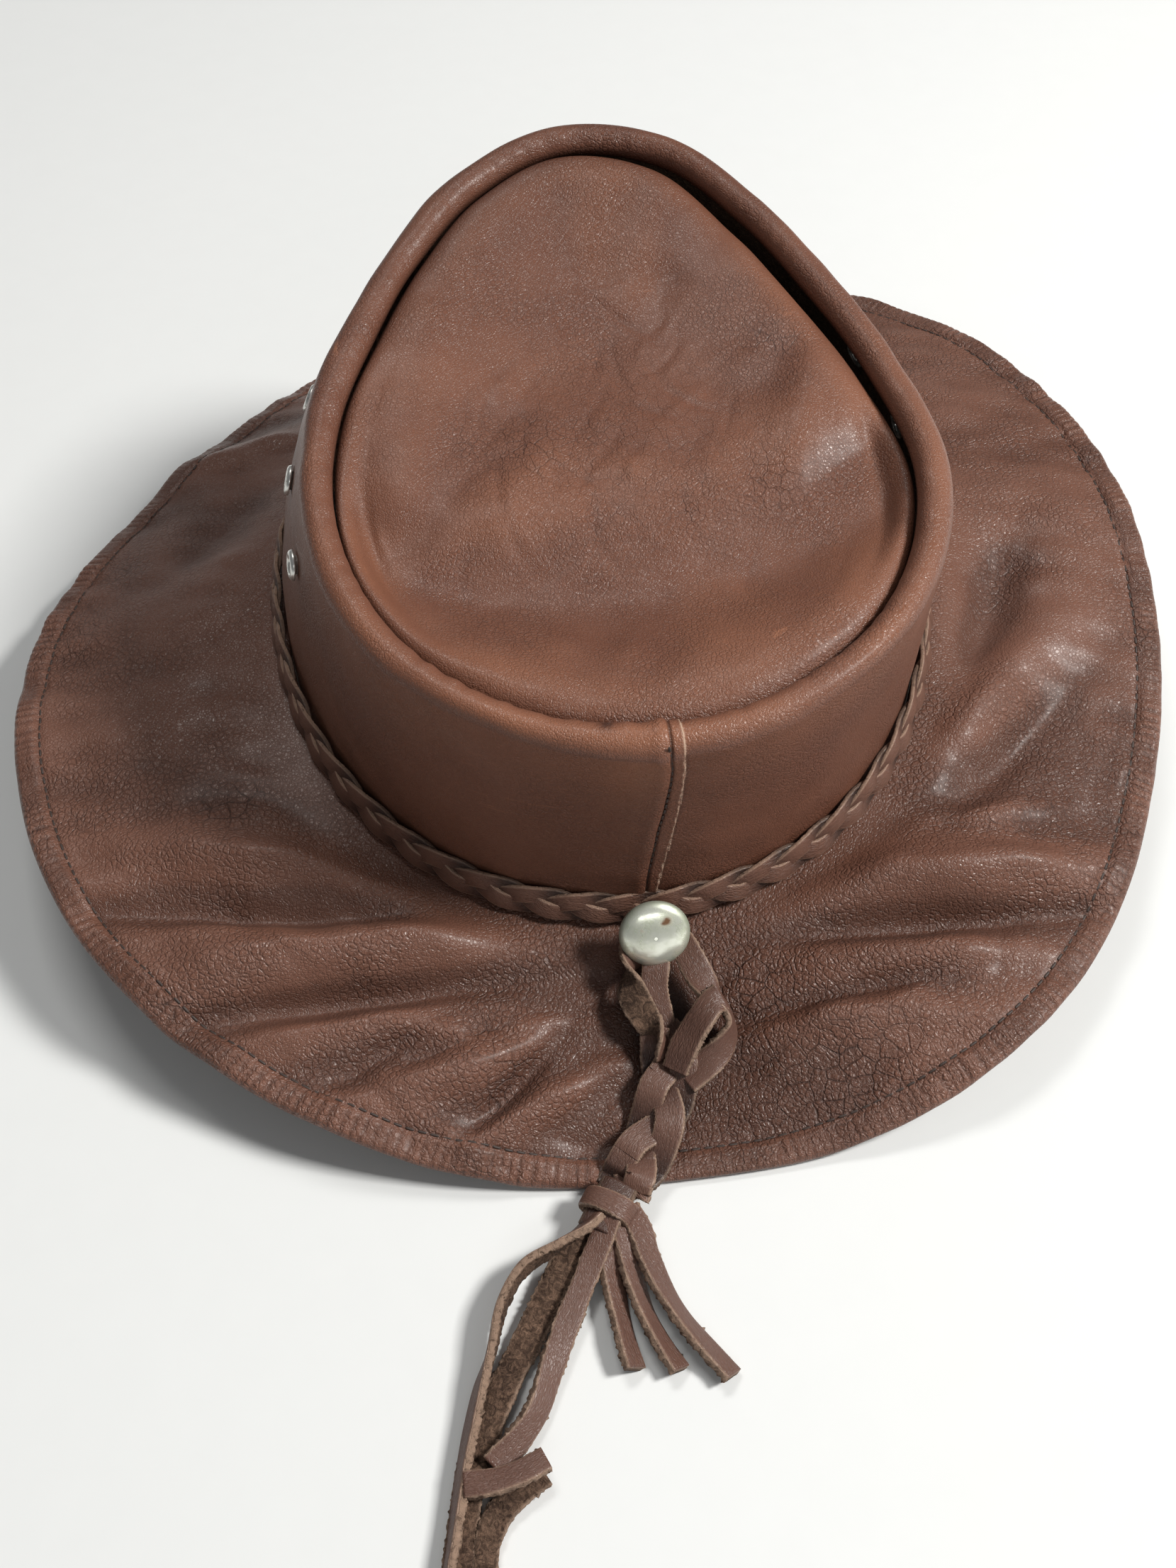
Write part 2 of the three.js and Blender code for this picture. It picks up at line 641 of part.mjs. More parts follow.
// The button stands on the band at the back, tilted up
const bandFace = halfLength + bandStandOff + bandThickness + gap;
const buttonFoot = footHeight(BACK) + leather / 2 + gap + bandHeight * 0.35;
const button = addPiece('button', buttonGeometry(), finish(tarnish, 0.45, 0.7));
button.rotation.x = -(BACK - buttonTilt);
button.position.set(
  0,
  bandFace + shankRadius * Math.sin(buttonTilt) + shankLength * Math.cos(buttonTilt),
  buttonFoot + shankLength * Math.sin(buttonTilt),
);

// The whole hat is moved so that the middle of its outline is the origin
const outline = new THREE.Box3().setFromObject(hat);
hat.position.set(-(outline.min.x + outline.max.x) / 2, -(outline.min.y + outline.max.y) / 2, 0);

export default hat;
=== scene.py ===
import math
import bpy
import numpy as np
from numpy import arange, array, broadcast_to, clip, concatenate, cos, exp, linspace, sin, stack
from mathutils import Matrix, Vector
from mathutils.bvhtree import BVHTree


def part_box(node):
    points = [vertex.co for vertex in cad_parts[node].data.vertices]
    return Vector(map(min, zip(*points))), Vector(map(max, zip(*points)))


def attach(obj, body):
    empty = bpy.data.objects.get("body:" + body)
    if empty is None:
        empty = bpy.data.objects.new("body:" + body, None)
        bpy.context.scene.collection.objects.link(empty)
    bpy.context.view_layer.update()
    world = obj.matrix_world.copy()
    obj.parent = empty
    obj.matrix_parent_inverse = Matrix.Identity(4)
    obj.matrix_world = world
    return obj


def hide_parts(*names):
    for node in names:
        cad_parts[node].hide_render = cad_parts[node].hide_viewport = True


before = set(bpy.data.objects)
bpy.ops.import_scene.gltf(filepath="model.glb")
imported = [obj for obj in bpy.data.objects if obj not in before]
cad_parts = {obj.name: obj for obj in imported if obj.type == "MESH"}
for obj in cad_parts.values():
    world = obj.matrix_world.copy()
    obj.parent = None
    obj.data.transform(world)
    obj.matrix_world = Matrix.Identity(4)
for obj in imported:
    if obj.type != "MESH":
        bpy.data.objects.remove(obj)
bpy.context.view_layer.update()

# A brown leather bush hat lying on its brim, seen from behind and above.
# Angles run around the crown from its left side (+X) over the back (+Y).

fullTurn = 2 * math.pi
back = math.pi / 2
finish = {}       # materials by name


# Places taken from the frame

def corners(node):
    low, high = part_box(node)
    return array(low), array(high)


bandLow, bandHigh = corners("hat_band")
wallLow, wallHigh = corners("crown_side")
axisX, axisY = (bandLow[:2] + bandHigh[:2]) / 2
halfWidth = (wallHigh[0] - wallLow[0]) / 2
halfLength = axisY - wallLow[1]

hat = dict(ovalPower=2.15, leather=0.002, gap=0.0003, footLift=0.028, footSaddle=0.0075)
hat["headLength"] = 2 * (halfLength - hat["leather"])

crown = dict(height=0.097, fullness=1.8, lipRadius=0.0041, tipDrop=0.003, pillow=0.006, dent=0.009)

# The lip every 22.5 degrees: share of the foot's oval, share of the crown's height, and how far the
# tip falls away there
lipRows = array([
    (0.78, 0.67, 1.0), (0.86, 0.65, 1.0), (0.93, 0.67, 1.0), (0.98, 0.70, 1.0),
    (1.02, 0.71, 1.0), (1.02, 0.70, 1.0), (1.01, 0.67, 1.0), (0.96, 0.66, 1.3),
    (0.85, 0.67, 2.2), (0.775, 0.74, 3.2), (0.78, 0.85, 3.2), (0.84, 0.96, 1.8),
    (0.84, 1.00, 1.0), (0.76, 0.95, 1.0), (0.70, 0.84, 1.2), (0.70, 0.74, 1.2),
])

brim = dict(reach=0.070, hemWidth=0.0068, hemThickness=0.0034, foldHeight=0.0102)

# The brim's edge every 30 degrees: share of the reach, height as a share of the foot's lift
edgeRows = array([
    (1.06, 0.86), (1.10, 0.96), (1.00, 0.50), (0.91, -0.10), (1.00, 0.52), (0.96, 0.64),
    (0.99, 1.18), (1.03, 1.04), (1.02, 0.57), (1.00, -0.08), (0.89, 0.02), (0.86, 0.40),
])

# Main folds of the brim, seen from above, as shares of the head's length: x, y, turn in degrees,
# half length, half width, bend, and rise as a share of foldHeight (less than 0 is a valley)
foldRows = [
    (0.37, 0.535, 2, 0.23, 0.046, 0.0, 0.95),
    (0.36, 0.592, 3, 0.20, 0.020, 0.0, -0.62),
    (0.46, 0.41, -17, 0.18, 0.038, 0.0, 0.6),
    (0.47, 0.478, -8, 0.19, 0.020, 0.0, -0.52),
    (0.53, 0.494, 0, 0.08, 0.020, 0.0, 0.22),
    (0.39, 0.628, 8, 0.12, 0.022, 0.0, 0.35),
    (0.26, 0.69, 14, 0.13, 0.026, 0.0, 0.45),
    (0.35, 0.665, 26, 0.07, 0.014, 0.0, -0.26),
    (0.15, 0.732, 24, 0.09, 0.020, 0.0, 0.4),
    (0.185, 0.705, 40, 0.08, 0.012, 0.0, -0.38),
    (0.275, 0.665, 20, 0.07, 0.010, 0.0, -0.16),
    (-0.25, 0.50, 10, 0.16, 0.03, 0.0, 0.35),
    (-0.40, 0.52, 0, 0.20, 0.036, 0.0, 0.75),
    (-0.36, 0.572, -1, 0.19, 0.018, 0.0, -0.62),
    (-0.31, 0.61, -6, 0.13, 0.026, 0.0, 0.45),
    (-0.23, 0.648, 4, 0.12, 0.012, 0.0, -0.34),
    (-0.24, 0.685, -2, 0.13, 0.024, 0.0, 0.36),
    (-0.48, 0.27, 42, 0.16, 0.038, 0.0, 0.48),
    (-0.51, 0.34, 40, 0.16, 0.026, 0.0, -0.38),
    (-0.54, 0.10, 61, 0.14, 0.045, 0.0, -0.7),
    (-0.47, 0.43, 6, 0.10, 0.018, 0.0, 0.24),
    (0.50, -0.46, 13, 0.12, 0.04, 0.0, 0.4),
    (0.55, -0.22, 55, 0.11, 0.05, 0.0, -0.4),
]


# Curves and grids

def catmullRom(a, b, c, d, t):
    # the cubic that runs from b to c while t goes from 0 to 1, with a and d as their neighbours
    return 0.5 * (2 * b + (c - a) * t + (2 * a - 5 * b + 4 * c - d) * t ** 2
                  + (3 * b - a - 3 * c + d) * t ** 3)


def around(rows, column, angle):
    # a closed Catmull-Rom curve through one column of a table, at any angle
    values = rows[:, column]
    count = len(values)
    place = (np.asarray(angle) / fullTurn) % 1 * count
    first = np.floor(place).astype(int)
    t = place - first
    return catmullRom(*(values[(first + step) % count] for step in (-1, 0, 1, 2)), t)


def ease(low, high, value):
    # 0 below low, 1 above high, and a smooth step between them
    t = clip((value - low) / (high - low), 0, 1)
    return t * t * (3 - 2 * t)


def bell(value, middle, width):
    # 1 at the middle, falling to about a third at width on either side
    return exp(-((value - middle) / width) ** 2)


def unevenness(points, shape, waveSize, rippleSize, seed):
    # a slow wave and a finer ripple of a surface
    return (shape["wave"] * waves(points, waveSize, seed)
            + shape["ripple"] * waves(points, rippleSize, seed + 1))


def spot(x, y, middle, size):
    # a bell in two directions
    return bell(x, middle[0], size[0]) * bell(y, middle[1], size[1])


def unit(vectors):
    return vectors / np.maximum(np.linalg.norm(vectors, axis=-1, keepdims=True), 1e-12)


def waves(points, size, seed, count=9):
    # soft noise, mostly between -1 and 1: a few sine waves in random directions added up
    rng = np.random.default_rng(seed)
    total = np.zeros(np.shape(points)[:-1])
    for _ in range(count):
        direction = unit(rng.normal(size=np.shape(points)[-1]))
        pitch = size * rng.uniform(0.7, 1.6)
        total += sin(points @ direction * fullTurn / pitch + rng.uniform(0, fullTurn))
    return total / math.sqrt(count)


def strokes(x, y, rows):
    # ridges and valleys: each is a bell across its own line, fading towards the line's ends
    total = np.zeros(np.shape(x))
    for middleX, middleY, turn, long, wide, bend, rise in rows:
        angle = math.radians(turn)
        dx = x - middleX
        dy = y - middleY
        along = dx * math.cos(angle) + dy * math.sin(angle)
        across = dy * math.cos(angle) - dx * math.sin(angle) - bend * along ** 2 / long
        total += rise * exp(-(along / long) ** 2 - np.abs(across / wide) ** 1.7)
    return total


def oval(angle, grow=0.0):
    # a superellipse around the crown's axis, pushed out by grow along its own normal
    c = cos(angle)
    s = sin(angle)
    power = hat["ovalPower"]
    r = (np.abs(c) ** power + np.abs(s) ** power) ** (-1 / power)
    out = unit(stack([c * halfLength, s * halfWidth], -1))
    x = axisX + halfWidth * r * c + grow * out[..., 0]
    y = axisY + halfLength * r * s + grow * out[..., 1]
    return x, y, out


def footHeight(angle):
    # the crown's foot is a saddle: high at the sides, low at the front and the back
    return hat["footLift"] + hat["footSaddle"] * cos(2 * angle)


def lipPoint(angle):
    # the middle of the rolled lip, from the foot's oval and the table above
    x, y, _ = oval(angle)
    out = around(lipRows, 0, angle)
    height = footHeight(angle) + crown["height"] * around(lipRows, 1, angle)
    return stack([axisX + (x - axisX) * out, axisY + (y - axisY) * out, height], -1)


def lipOut(angle):
    # the lip's outward direction, from two neighbouring points of its centre line
    step = fullTurn / 52
    along = lipPoint(angle + step) - lipPoint(angle - step)
    return unit(stack([along[..., 1], -along[..., 0]], -1))


def makeShell(points, closed=False, **marks):
    # rings of points (ring, around, 3) joined into a skin; an open row of rings gets a fan at each end
    rings, size = points.shape[:2]
    verts = points.reshape(-1, 3)
    ring = arange(rings if closed else rings - 1)[:, None]
    k = arange(size)[None, :]
    a = ring * size + k
    b = ring * size + (k + 1) % size
    nextRing = (ring + 1) % rings
    c = nextRing * size + (k + 1) % size
    d = nextRing * size + k
    quads = stack([a, d, c, b], -1).reshape(-1, 4)
    tris = np.zeros((0, 3), int)
    values = {}
    for name, mark in marks.items():
        mark = np.asarray(mark, float)
        whole = broadcast_to(mark, (rings, size) + mark.shape[2:])
        values[name] = whole.reshape((-1,) + mark.shape[2:])
    if not closed:
        ends = stack([points[0].mean(0), points[-1].mean(0)])
        start = len(verts)
        verts = concatenate([verts, ends])
        edge = arange(size)
        after = (edge + 1) % size
        last = (rings - 1) * size
        first = stack([np.full(size, start), edge, after], -1)
        final = stack([np.full(size, start + 1), last + after, last + edge], -1)
        tris = concatenate([first, final])
        values = {name: concatenate([v, [v[:size].mean(0), v[-size:].mean(0)]])
                  for name, v in values.items()}
    return facingOut(dict(verts=verts, quads=quads, tris=tris, marks=values))


def facingOut(shell):
    # turns the faces over if the volume that they enclose comes out negative
    v = shell["verts"]
    q = shell["quads"]
    corner = concatenate([q[:, [0, 1, 2]], q[:, [0, 2, 3]], shell["tris"]])
    a, b, c = v[corner[:, 0]], v[corner[:, 1]], v[corner[:, 2]]
    if np.einsum("ij,ij->", np.cross(a, b), c) < 0:
        shell["quads"] = q[:, ::-1]
        shell["tris"] = shell["tris"][:, ::-1]
    return shell


def makePiece(name, shells, material, slot, *nodes):
    # joins shells into one mesh, with their marks as point attributes, in place of its CAD nodes
    offsets = np.cumsum([0] + [len(s["verts"]) for s in shells])
    verts = concatenate([s["verts"] for s in shells])
    quads = concatenate([s["quads"] + o for s, o in zip(shells, offsets)])
    tris = concatenate([s["tris"] + o for s, o in zip(shells, offsets)])
    mesh = bpy.data.meshes.new(name)
    mesh.from_pydata(verts, [], quads.tolist() + tris.tolist(), shade_flat=False)
    for mark in sorted({key for s in shells for key in s["marks"]}):
        vector = any(s["marks"][mark].ndim == 2 for s in shells if mark in s["marks"])
        blank = (3,) if vector else ()
        values = concatenate([s["marks"].get(mark, np.zeros((len(s["verts"]),) + blank))
                              for s in shells])
        layer = mesh.attributes.new(mark, "FLOAT_VECTOR" if vector else "FLOAT", "POINT")
        layer.data.foreach_set("vector" if vector else "value", values.astype(np.float32).ravel())
    mesh.validate()
    piece = bpy.data.objects.new(name, mesh)
    bpy.context.scene.collection.objects.link(piece)
    mesh.materials.append(material)
    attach(piece, "root")
    if nodes:
        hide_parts(*nodes)
    print("made", name, len(mesh.polygons), "faces")
    return piece


def smoothPath(points, count):
    # a Catmull-Rom curve through the points, resampled to even steps of its first three columns
    p = np.asarray(points, float)
    ends = concatenate([[2 * p[0] - p[1]], p, [2 * p[-1] - p[-2]]])
    t = linspace(0, len(p) - 1, 40 * len(p))
    first = np.minimum(t.astype(int), len(p) - 2)
    u = (t - first)[:, None]
    curve = catmullRom(*(ends[first + k] for k in range(4)), u)
    length = lengthAlong(curve[:, :3])
    even = linspace(0, length[-1], count)
    return stack([np.interp(even, length, curve[:, k]) for k in range(curve.shape[1])], -1)


def lengthAlong(path):
    return concatenate([[0], np.cumsum(np.linalg.norm(np.diff(path, axis=0), axis=1))])


def direction(path, closed=False):
    # unit tangents of a path
    if closed:
        return unit(np.roll(path, -1, 0) - np.roll(path, 1, 0))
    return unit(np.gradient(path, axis=0))


def rolled(path, roll):
    # the way a flat strip faces: up at roll 0, towards +X at 90 degrees where the strip runs to +Y
    along = direction(path)
    side = unit(np.cross(along, [0, 0, 1.0]))
    up = np.cross(side, along)
    return up * cos(roll)[:, None] + side * sin(roll)[:, None]


def strip(path, lift, halfWide, halfThick, closed=False, sides=20, square=0.3, fuzz=0.0, seed=1,
          **marks):
    # a flat strip: a squared-off oval carried along the path, its skin side towards lift, and its cut
    # edges and back made rough by fuzz
    along = direction(path, closed)
    across = unit(np.cross(along, lift))
    up = np.cross(across, along)
    t = (arange(sides) + 0.5) / sides * fullTurn
    w = np.sign(cos(t)) * np.abs(cos(t)) ** square
    h = np.sign(sin(t)) * np.abs(sin(t)) ** (square + 0.15)
    wide = broadcast_to(halfWide, len(path))[:, None, None]
    thick = broadcast_to(halfThick, len(path))[:, None, None]
    rng = np.random.default_rng(seed)
    suede = broadcast_to(1 - ease(0.3, 0.8, h)[None, :], (len(path), sides))
    rough = fuzz * rng.normal(size=(len(path), sides)) * ease(0.2, 0.6, suede)
    atEdge = np.sign(w) * (np.abs(w) > 0.9)
    reach = w[None, :, None] * wide + (atEdge * rough)[..., None]
    height = h[None, :, None] * thick + (np.sign(h) * rough)[..., None]
    rings = path[:, None] + across[:, None] * reach + up[:, None] * height
    along = 0.3 * lengthAlong(path)[:, None]
    lay = stack(np.broadcast_arrays(w[None, :] * wide[..., 0], along, seed * 0.037), -1)
    rim = ease(0.85, 0.96, np.abs(w))[None]
    return makeShell(rings, closed, rim=rim, suede=suede, lay=lay, **marks)


def heightFinder(piece):
    # the highest point of a piece under a place seen from above
    mesh = piece.data
    tree = BVHTree.FromPolygons([v.co for v in mesh.vertices], [p.vertices[:] for p in mesh.polygons])

    def height(x, y):
        hit = tree.ray_cast(Vector((x, y, 0.5)), Vector((0, 0, -1)))[0]
        return hit.z if hit else 0.0
    return height


def capsules(centres, along, out, length, radius, flatten=0.7):
    # one small rounded stitch at each centre, lying along the seam
    rings = 6
    sides = 6
    t = linspace(0, math.pi, rings + 2)[1:-1]
    a = arange(sides) / sides * fullTurn
    lengthwise = -np.sign(cos(t)) * np.abs(cos(t)) ** 0.7 * length / 2
    girth = sin(t) ** 0.5 * radius
    across = np.cross(along, out)
    grid = (centres[:, None, None]
            + along[:, None, None] * lengthwise[None, :, None, None]
            + across[:, None, None] * (girth[:, None] * cos(a))[None, :, :, None]
            + out[:, None, None] * (girth[:, None] * sin(a) * flatten)[None, :, :, None])
    return [makeShell(one) for one in grid]


# Shader groups and materials

class Board:
    # short ways to add and join nodes in one tree
    def __init__(self, tree):
        self.tree = tree

    def add(self, kind, settings=None, **links):
        node = self.tree.nodes.new("ShaderNode" + kind)
        for key, value in (settings or {}).items():
            setattr(node, key, value)
        self.feed(node, **links)
        return node

    def feed(self, node, **links):
        # links a socket to an input or sets the input's value; i0, i1 and so on are inputs by number
        for key, value in links.items():
            socket = node.inputs[int(key[1:]) if key[1:].isdigit() else key.replace("_", " ")]
            if isinstance(value, bpy.types.NodeSocket):
                self.tree.links.new(value, socket)
            else:
                socket.default_value = value

    def math(self, operation, a, b, clamp=False):
        return self.add("Math", dict(operation=operation, use_clamp=clamp), i0=a, i1=b).outputs[0]

    def plus(self, a, b, clamp=False):
        return self.math("ADD", a, b, clamp)

    def minus(self, a, b, clamp=False):
        return self.math("SUBTRACT", a, b, clamp)

    def times(self, a, b, clamp=False):
        return self.math("MULTIPLY", a, b, clamp)

    def ramp(self, value, low, high):
        return self.add("MapRange", dict(interpolation_type="SMOOTHSTEP"), Value=value,
                        From_Min=low, From_Max=high).outputs[0]

    def blend(self, factor, a, b):
        node = self.add("Mix", dict(data_type="RGBA", clamp_factor=True), Factor=factor, i6=a, i7=b)
        return node.outputs[2]

    def noise(self, vector, scale, detail=3.0, rough=0.55, distort=0.0):
        return self.add("TexNoise", Vector=vector, Scale=scale, Detail=detail, Roughness=rough,
                        Distortion=distort).outputs[0]

    def bump(self, height, strength, distance):
        return self.add("Bump", Height=height, Strength=strength, Distance=distance).outputs[0]

    def mark(self, name, output="Fac"):
        return self.add("Attribute", dict(attribute_name=name)).outputs[output]

    def group(self, tree, **links):
        return self.add("Group", dict(node_tree=tree), **links).outputs


def newGroup(name, inputs, outputs):
    # a socket without a value is a vector, one with a tuple a colour, and any other a number
    group = bpy.data.node_groups.new(name, "ShaderNodeTree")
    for way, sockets in (("INPUT", inputs), ("OUTPUT", outputs)):
        for label, value in sockets.items():
            kind = "Vector" if value is None else "Color" if isinstance(value, tuple) else "Float"
            socket = group.interface.new_socket(label, in_out=way, socket_type="NodeSocket" + kind)
            if value is not None:
                socket.default_value = value
    given = group.nodes.new("NodeGroupInput").outputs
    return group, Board(group), given, group.nodes.new("NodeGroupOutput")


def makeGrainGroup():
    # leather grain as a height: rounded pebbles in patches, a web of creases where the skin has been
    # folded, fine cells with pores between them, and a soft swell
    group, board, given, result = newGroup(
        "leatherGrain",
        {"Vector": None, "Pebble Size": 900.0, "Pebble": 0.5, "Wrinkle": 0.5, "Creased": 0.0},
        {"Height": 0.0, "Crease": 0.0})
    vector = given["Vector"]
    size = given["Pebble Size"]
    warp = board.add("TexNoise", Vector=vector, Scale=260.0, Detail=2.0).outputs["Color"]
    shift = board.add("VectorMath", dict(operation="SCALE"), i0=warp, Scale=0.0014).outputs[0]
    moved = board.add("VectorMath", dict(operation="ADD"), i0=vector, i1=shift).outputs[0]

    def cells(scale, edge):
        # 0 on the cells' edges and 1 inside them
        found = board.add("TexVoronoi", dict(feature="DISTANCE_TO_EDGE"), Vector=moved, Scale=scale)
        return board.ramp(found.outputs["Distance"], 0.0, edge)
    pebble = cells(size, 0.22)
    patch = board.ramp(board.noise(vector, 34.0), 0.38, 0.6)
    amount = board.times(given["Pebble"], board.plus(0.2, board.times(patch, 0.8)))
    line = board.minus(1.0, cells(board.times(size, 0.33), 0.055))
    where = board.plus(board.ramp(board.noise(vector, 34.0, 2.0), 0.55, 0.8), given["Creased"], True)
    creased = board.times(board.times(line, where), given["Wrinkle"])
    pores = board.minus(1.0, cells(board.times(size, 1.9), 0.2))
    swell = board.times(board.noise(vector, 240.0, 3.0, 0.5), 0.6)
    height = board.minus(board.plus(board.times(pebble, amount), swell), creased)
    between = board.times(board.minus(1.0, pebble), amount)
    lines = board.plus(board.times(between, 0.65), creased, True)
    board.feed(result, Height=board.minus(height, board.times(pores, 0.24)),
               Crease=board.plus(lines, board.times(pores, 0.22), True))
    return group


def makeTintGroup():
    # leather colour: the skin's tone with clouds, flecks and rubbed places of a paler one, and a darker
    # one in patches and in the grain's creases; the darker one also lays painted shade in hollows,
    # crevices and under other parts, and a real tear on the lip; fine long scuffs come last
    group, board, given, result = newGroup(
        "leatherTint",
        {"Vector": None, "Skin": (0.2, 0.1, 0.07, 1), "Dark": (0.08, 0.04, 0.03, 1),
         "Rubbed": (0.35, 0.18, 0.12, 1), "Worn": 0.0, "Deep": 0.0, "Crease": 0.0, "Scuffs": 0.0},
        {"Color": (0, 0, 0, 1), "Cloud": 0.0})
    vector, dark, rubbed = (given[name] for name in ("Vector", "Dark", "Rubbed"))
    cloud = board.ramp(board.noise(vector, 22.0, 5.0, 0.6, 0.5), 0.3, 0.7)
    patchy = board.ramp(board.noise(vector, 60.0, 4.0, 0.65), 0.45, 0.8)
    fleck = board.ramp(board.noise(vector, 1100.0, 3.0, 0.7), 0.35, 0.75)
    long = board.add("Mapping", Vector=vector, Rotation=(0.3, 0.35, 0.2), Scale=(70.0, 70.0, 1500.0))
    lines = board.ramp(board.noise(long.outputs[0], 1.0, 2.0, 0.6), 0.66, 0.74)
    where = board.ramp(board.noise(vector, 45.0, 2.0), 0.45, 0.7)
    colour = given["Skin"]
    for amount, share, tone in (
            (cloud, 0.16, rubbed), (patchy, 0.05, dark), (given["Crease"], 0.75, dark),
            (fleck, 0.1, rubbed), (given["Worn"], 0.8, rubbed), (given["Deep"], 0.9, dark),
            (board.times(lines, where), given["Scuffs"], rubbed)):
        colour = board.blend(board.times(amount, share, True), colour, tone)
    board.feed(result, Color=colour, Cloud=cloud)
    return group


def makeNapGroup():
    # the rough flesh side of leather: matted fibres, dark between them and pale at their tips
    group, board, given, result = newGroup(
        "suedeNap", {"Vector": None, "Dark": (0.05, 0.03, 0.02, 1), "Pale": (0.3, 0.2, 0.14, 1)},
        {"Color": (0, 0, 0, 1), "Height": 0.0})
    tuft = board.noise(given["Vector"], 650.0, 5.0, 0.75, 1.2)
    patch = board.noise(given["Vector"], 170.0, 2.0, 0.6)
    tone = board.plus(board.ramp(tuft, 0.36, 0.72), board.times(board.minus(patch, 0.5), 0.7), True)
    board.feed(result, Color=board.blend(tone, given["Dark"], given["Pale"]), Height=tuft)
    return group


grainGroup = makeGrainGroup()
tintGroup = makeTintGroup()
napGroup = makeNapGroup()


def newMaterial(name):
    material = bpy.data.materials.new(name)
    material.use_nodes = True
    finish[name] = material
    board = Board(material.node_tree)
    return board, material.node_tree.nodes["Principled BSDF"], board.add("TexCoord").outputs["Object"]


def leatherLayers(board, coords, look, grainCoords, creased):
    # the grain, tint and nap that every leather here has
    grain = board.group(grainGroup, Vector=grainCoords, Pebble_Size=look["pebbleSize"],
                        Pebble=look["pebble"], Wrinkle=look["wrinkle"], Creased=creased)
    tint = board.group(tintGroup, Vector=coords, Skin=look["skin"], Dark=look["dark"],
                       Rubbed=look["rubbed"], Worn=board.mark("worn"), Deep=board.mark("deep"),
                       Crease=grain["Crease"], Scuffs=look["scuffs"])
    return grain, tint, board.group(napGroup, Vector=coords, Dark=look["napDark"], Pale=look["napPale"])


crownLook = dict(
    skin=(0.145, 0.058, 0.036, 1), dark=(0.04, 0.016, 0.011, 1), rubbed=(0.27, 0.11, 0.06, 1),
    napDark=(0.09, 0.05, 0.032, 1), napPale=(0.24, 0.15, 0.10, 1), cut=(0.46, 0.33, 0.245, 1),
    pebbleSize=820.0, pebble=0.5, wrinkle=0.7, scuffs=0.9, rough=0.36, bump=0.55, coat=0.07)
brimLook = dict(
    crownLook, skin=(0.138, 0.060, 0.039, 1), dark=(0.032, 0.014, 0.010, 1),
    rubbed=(0.215, 0.10, 0.068, 1), pebbleSize=600.0, pebble=0.65, wrinkle=1.0, scuffs=0.0,
    bump=0.68, coat=0.08)
braidLook = dict(
    skin=(0.12, 0.056, 0.039, 1), dark=(0.018, 0.009, 0.007, 1), rubbed=(0.21, 0.105, 0.072, 1),
    napDark=(0.05, 0.028, 0.019, 1), napPale=(0.22, 0.135, 0.095, 1), cut=(0.33, 0.21, 0.15, 1),
    pebbleSize=1300.0, pebble=0.35, wrinkle=0.4, creased=0.2, scuffs=0.0)
laceLook = dict(
    braidLook, skin=(0.10, 0.048, 0.035, 1), rubbed=(0.185, 0.098, 0.072, 1),
    napDark=(0.04, 0.021, 0.013, 1), napPale=(0.20, 0.12, 0.08, 1), cut=(0.32, 0.215, 0.155, 1))


def makeLeather(name, look):
    # skin side with grain, flesh side with nap, pale raw edges
    board, shader, coords = newMaterial(name)
    grain, tint, nap = leatherLayers(board, coords, look, coords, board.mark("creased"))
    flesh = board.mark("flesh")
    raw = board.mark("raw")
    matt = board.math("MAXIMUM", flesh, raw)
    frayed = board.times(raw, board.ramp(nap["Height"], 0.25, 0.55))
    rough = board.plus(look["rough"], board.times(board.minus(tint["Cloud"], 0.5), 0.12))
    rough = board.plus(rough, board.times(grain["Crease"], 0.16))
    streaks = board.noise(board.mark("hemSpace", "Vector"), 900.0, 3.0, 0.6)
    height = board.plus(grain["Height"], board.times(streaks, board.times(board.mark("gathered"), 1.7)))
    colour = board.blend(flesh, tint["Color"], nap["Color"])
    board.feed(shader, Roughness=board.plus(rough, board.times(matt, 0.4), True),
               Base_Color=board.blend(frayed, colour, look["cut"]),
               Coat_Weight=board.times(board.minus(1.0, matt), look["coat"]), Coat_Roughness=0.28,
               Specular_IOR_Level=0.38, Normal=board.bump(height, look["bump"], 0.0005))


def makeStrapLeather(name, look):
    # narrow strips: fine grain running along the strip, pale fibres on the cut edges, nap on the back
    board, shader, coords = newMaterial(name)
    grain, tint, nap = leatherLayers(board, coords, look, board.mark("lay", "Vector"), look["creased"])
    fibres = board.times(board.minus(nap["Height"], 0.5), 0.9)
    suede = board.ramp(board.plus(board.mark("suede"), fibres), 0.4, 0.6)
    rim = board.times(board.mark("rim"), board.ramp(nap["Height"], 0.28, 0.5))
    colour = board.blend(suede, tint["Color"], nap["Color"])
    colour = board.blend(board.times(rim, 0.85), colour, look["cut"])
    # painted shade where strands dive under one another and on the knot's bundle
    colour = board.blend(board.times(board.mark("deep"), 0.75, True), colour, look["dark"])
    height = board.plus(board.times(grain["Height"], 0.8),
                        board.times(nap["Height"], board.times(suede, 2.5)))
    board.feed(shader, Base_Color=colour, Roughness=board.plus(0.42, board.times(suede, 0.5), True),
               Specular_IOR_Level=0.38, Normal=board.bump(height, 0.7, 0.0004))


makeLeather("crownLeather", crownLook)
makeLeather("brimLeather", brimLook)
makeStrapLeather("braidLeather", braidLook)
makeStrapLeather("laceLeather", laceLook)


def makeThread():
    board, shader, coords = newMaterial("darkThread")
    twist = board.noise(coords, 3000.0, 2.0)
    board.feed(shader, Roughness=0.6,
               Base_Color=board.blend(twist, (0.012, 0.008, 0.007, 1), (0.06, 0.035, 0.026, 1)))


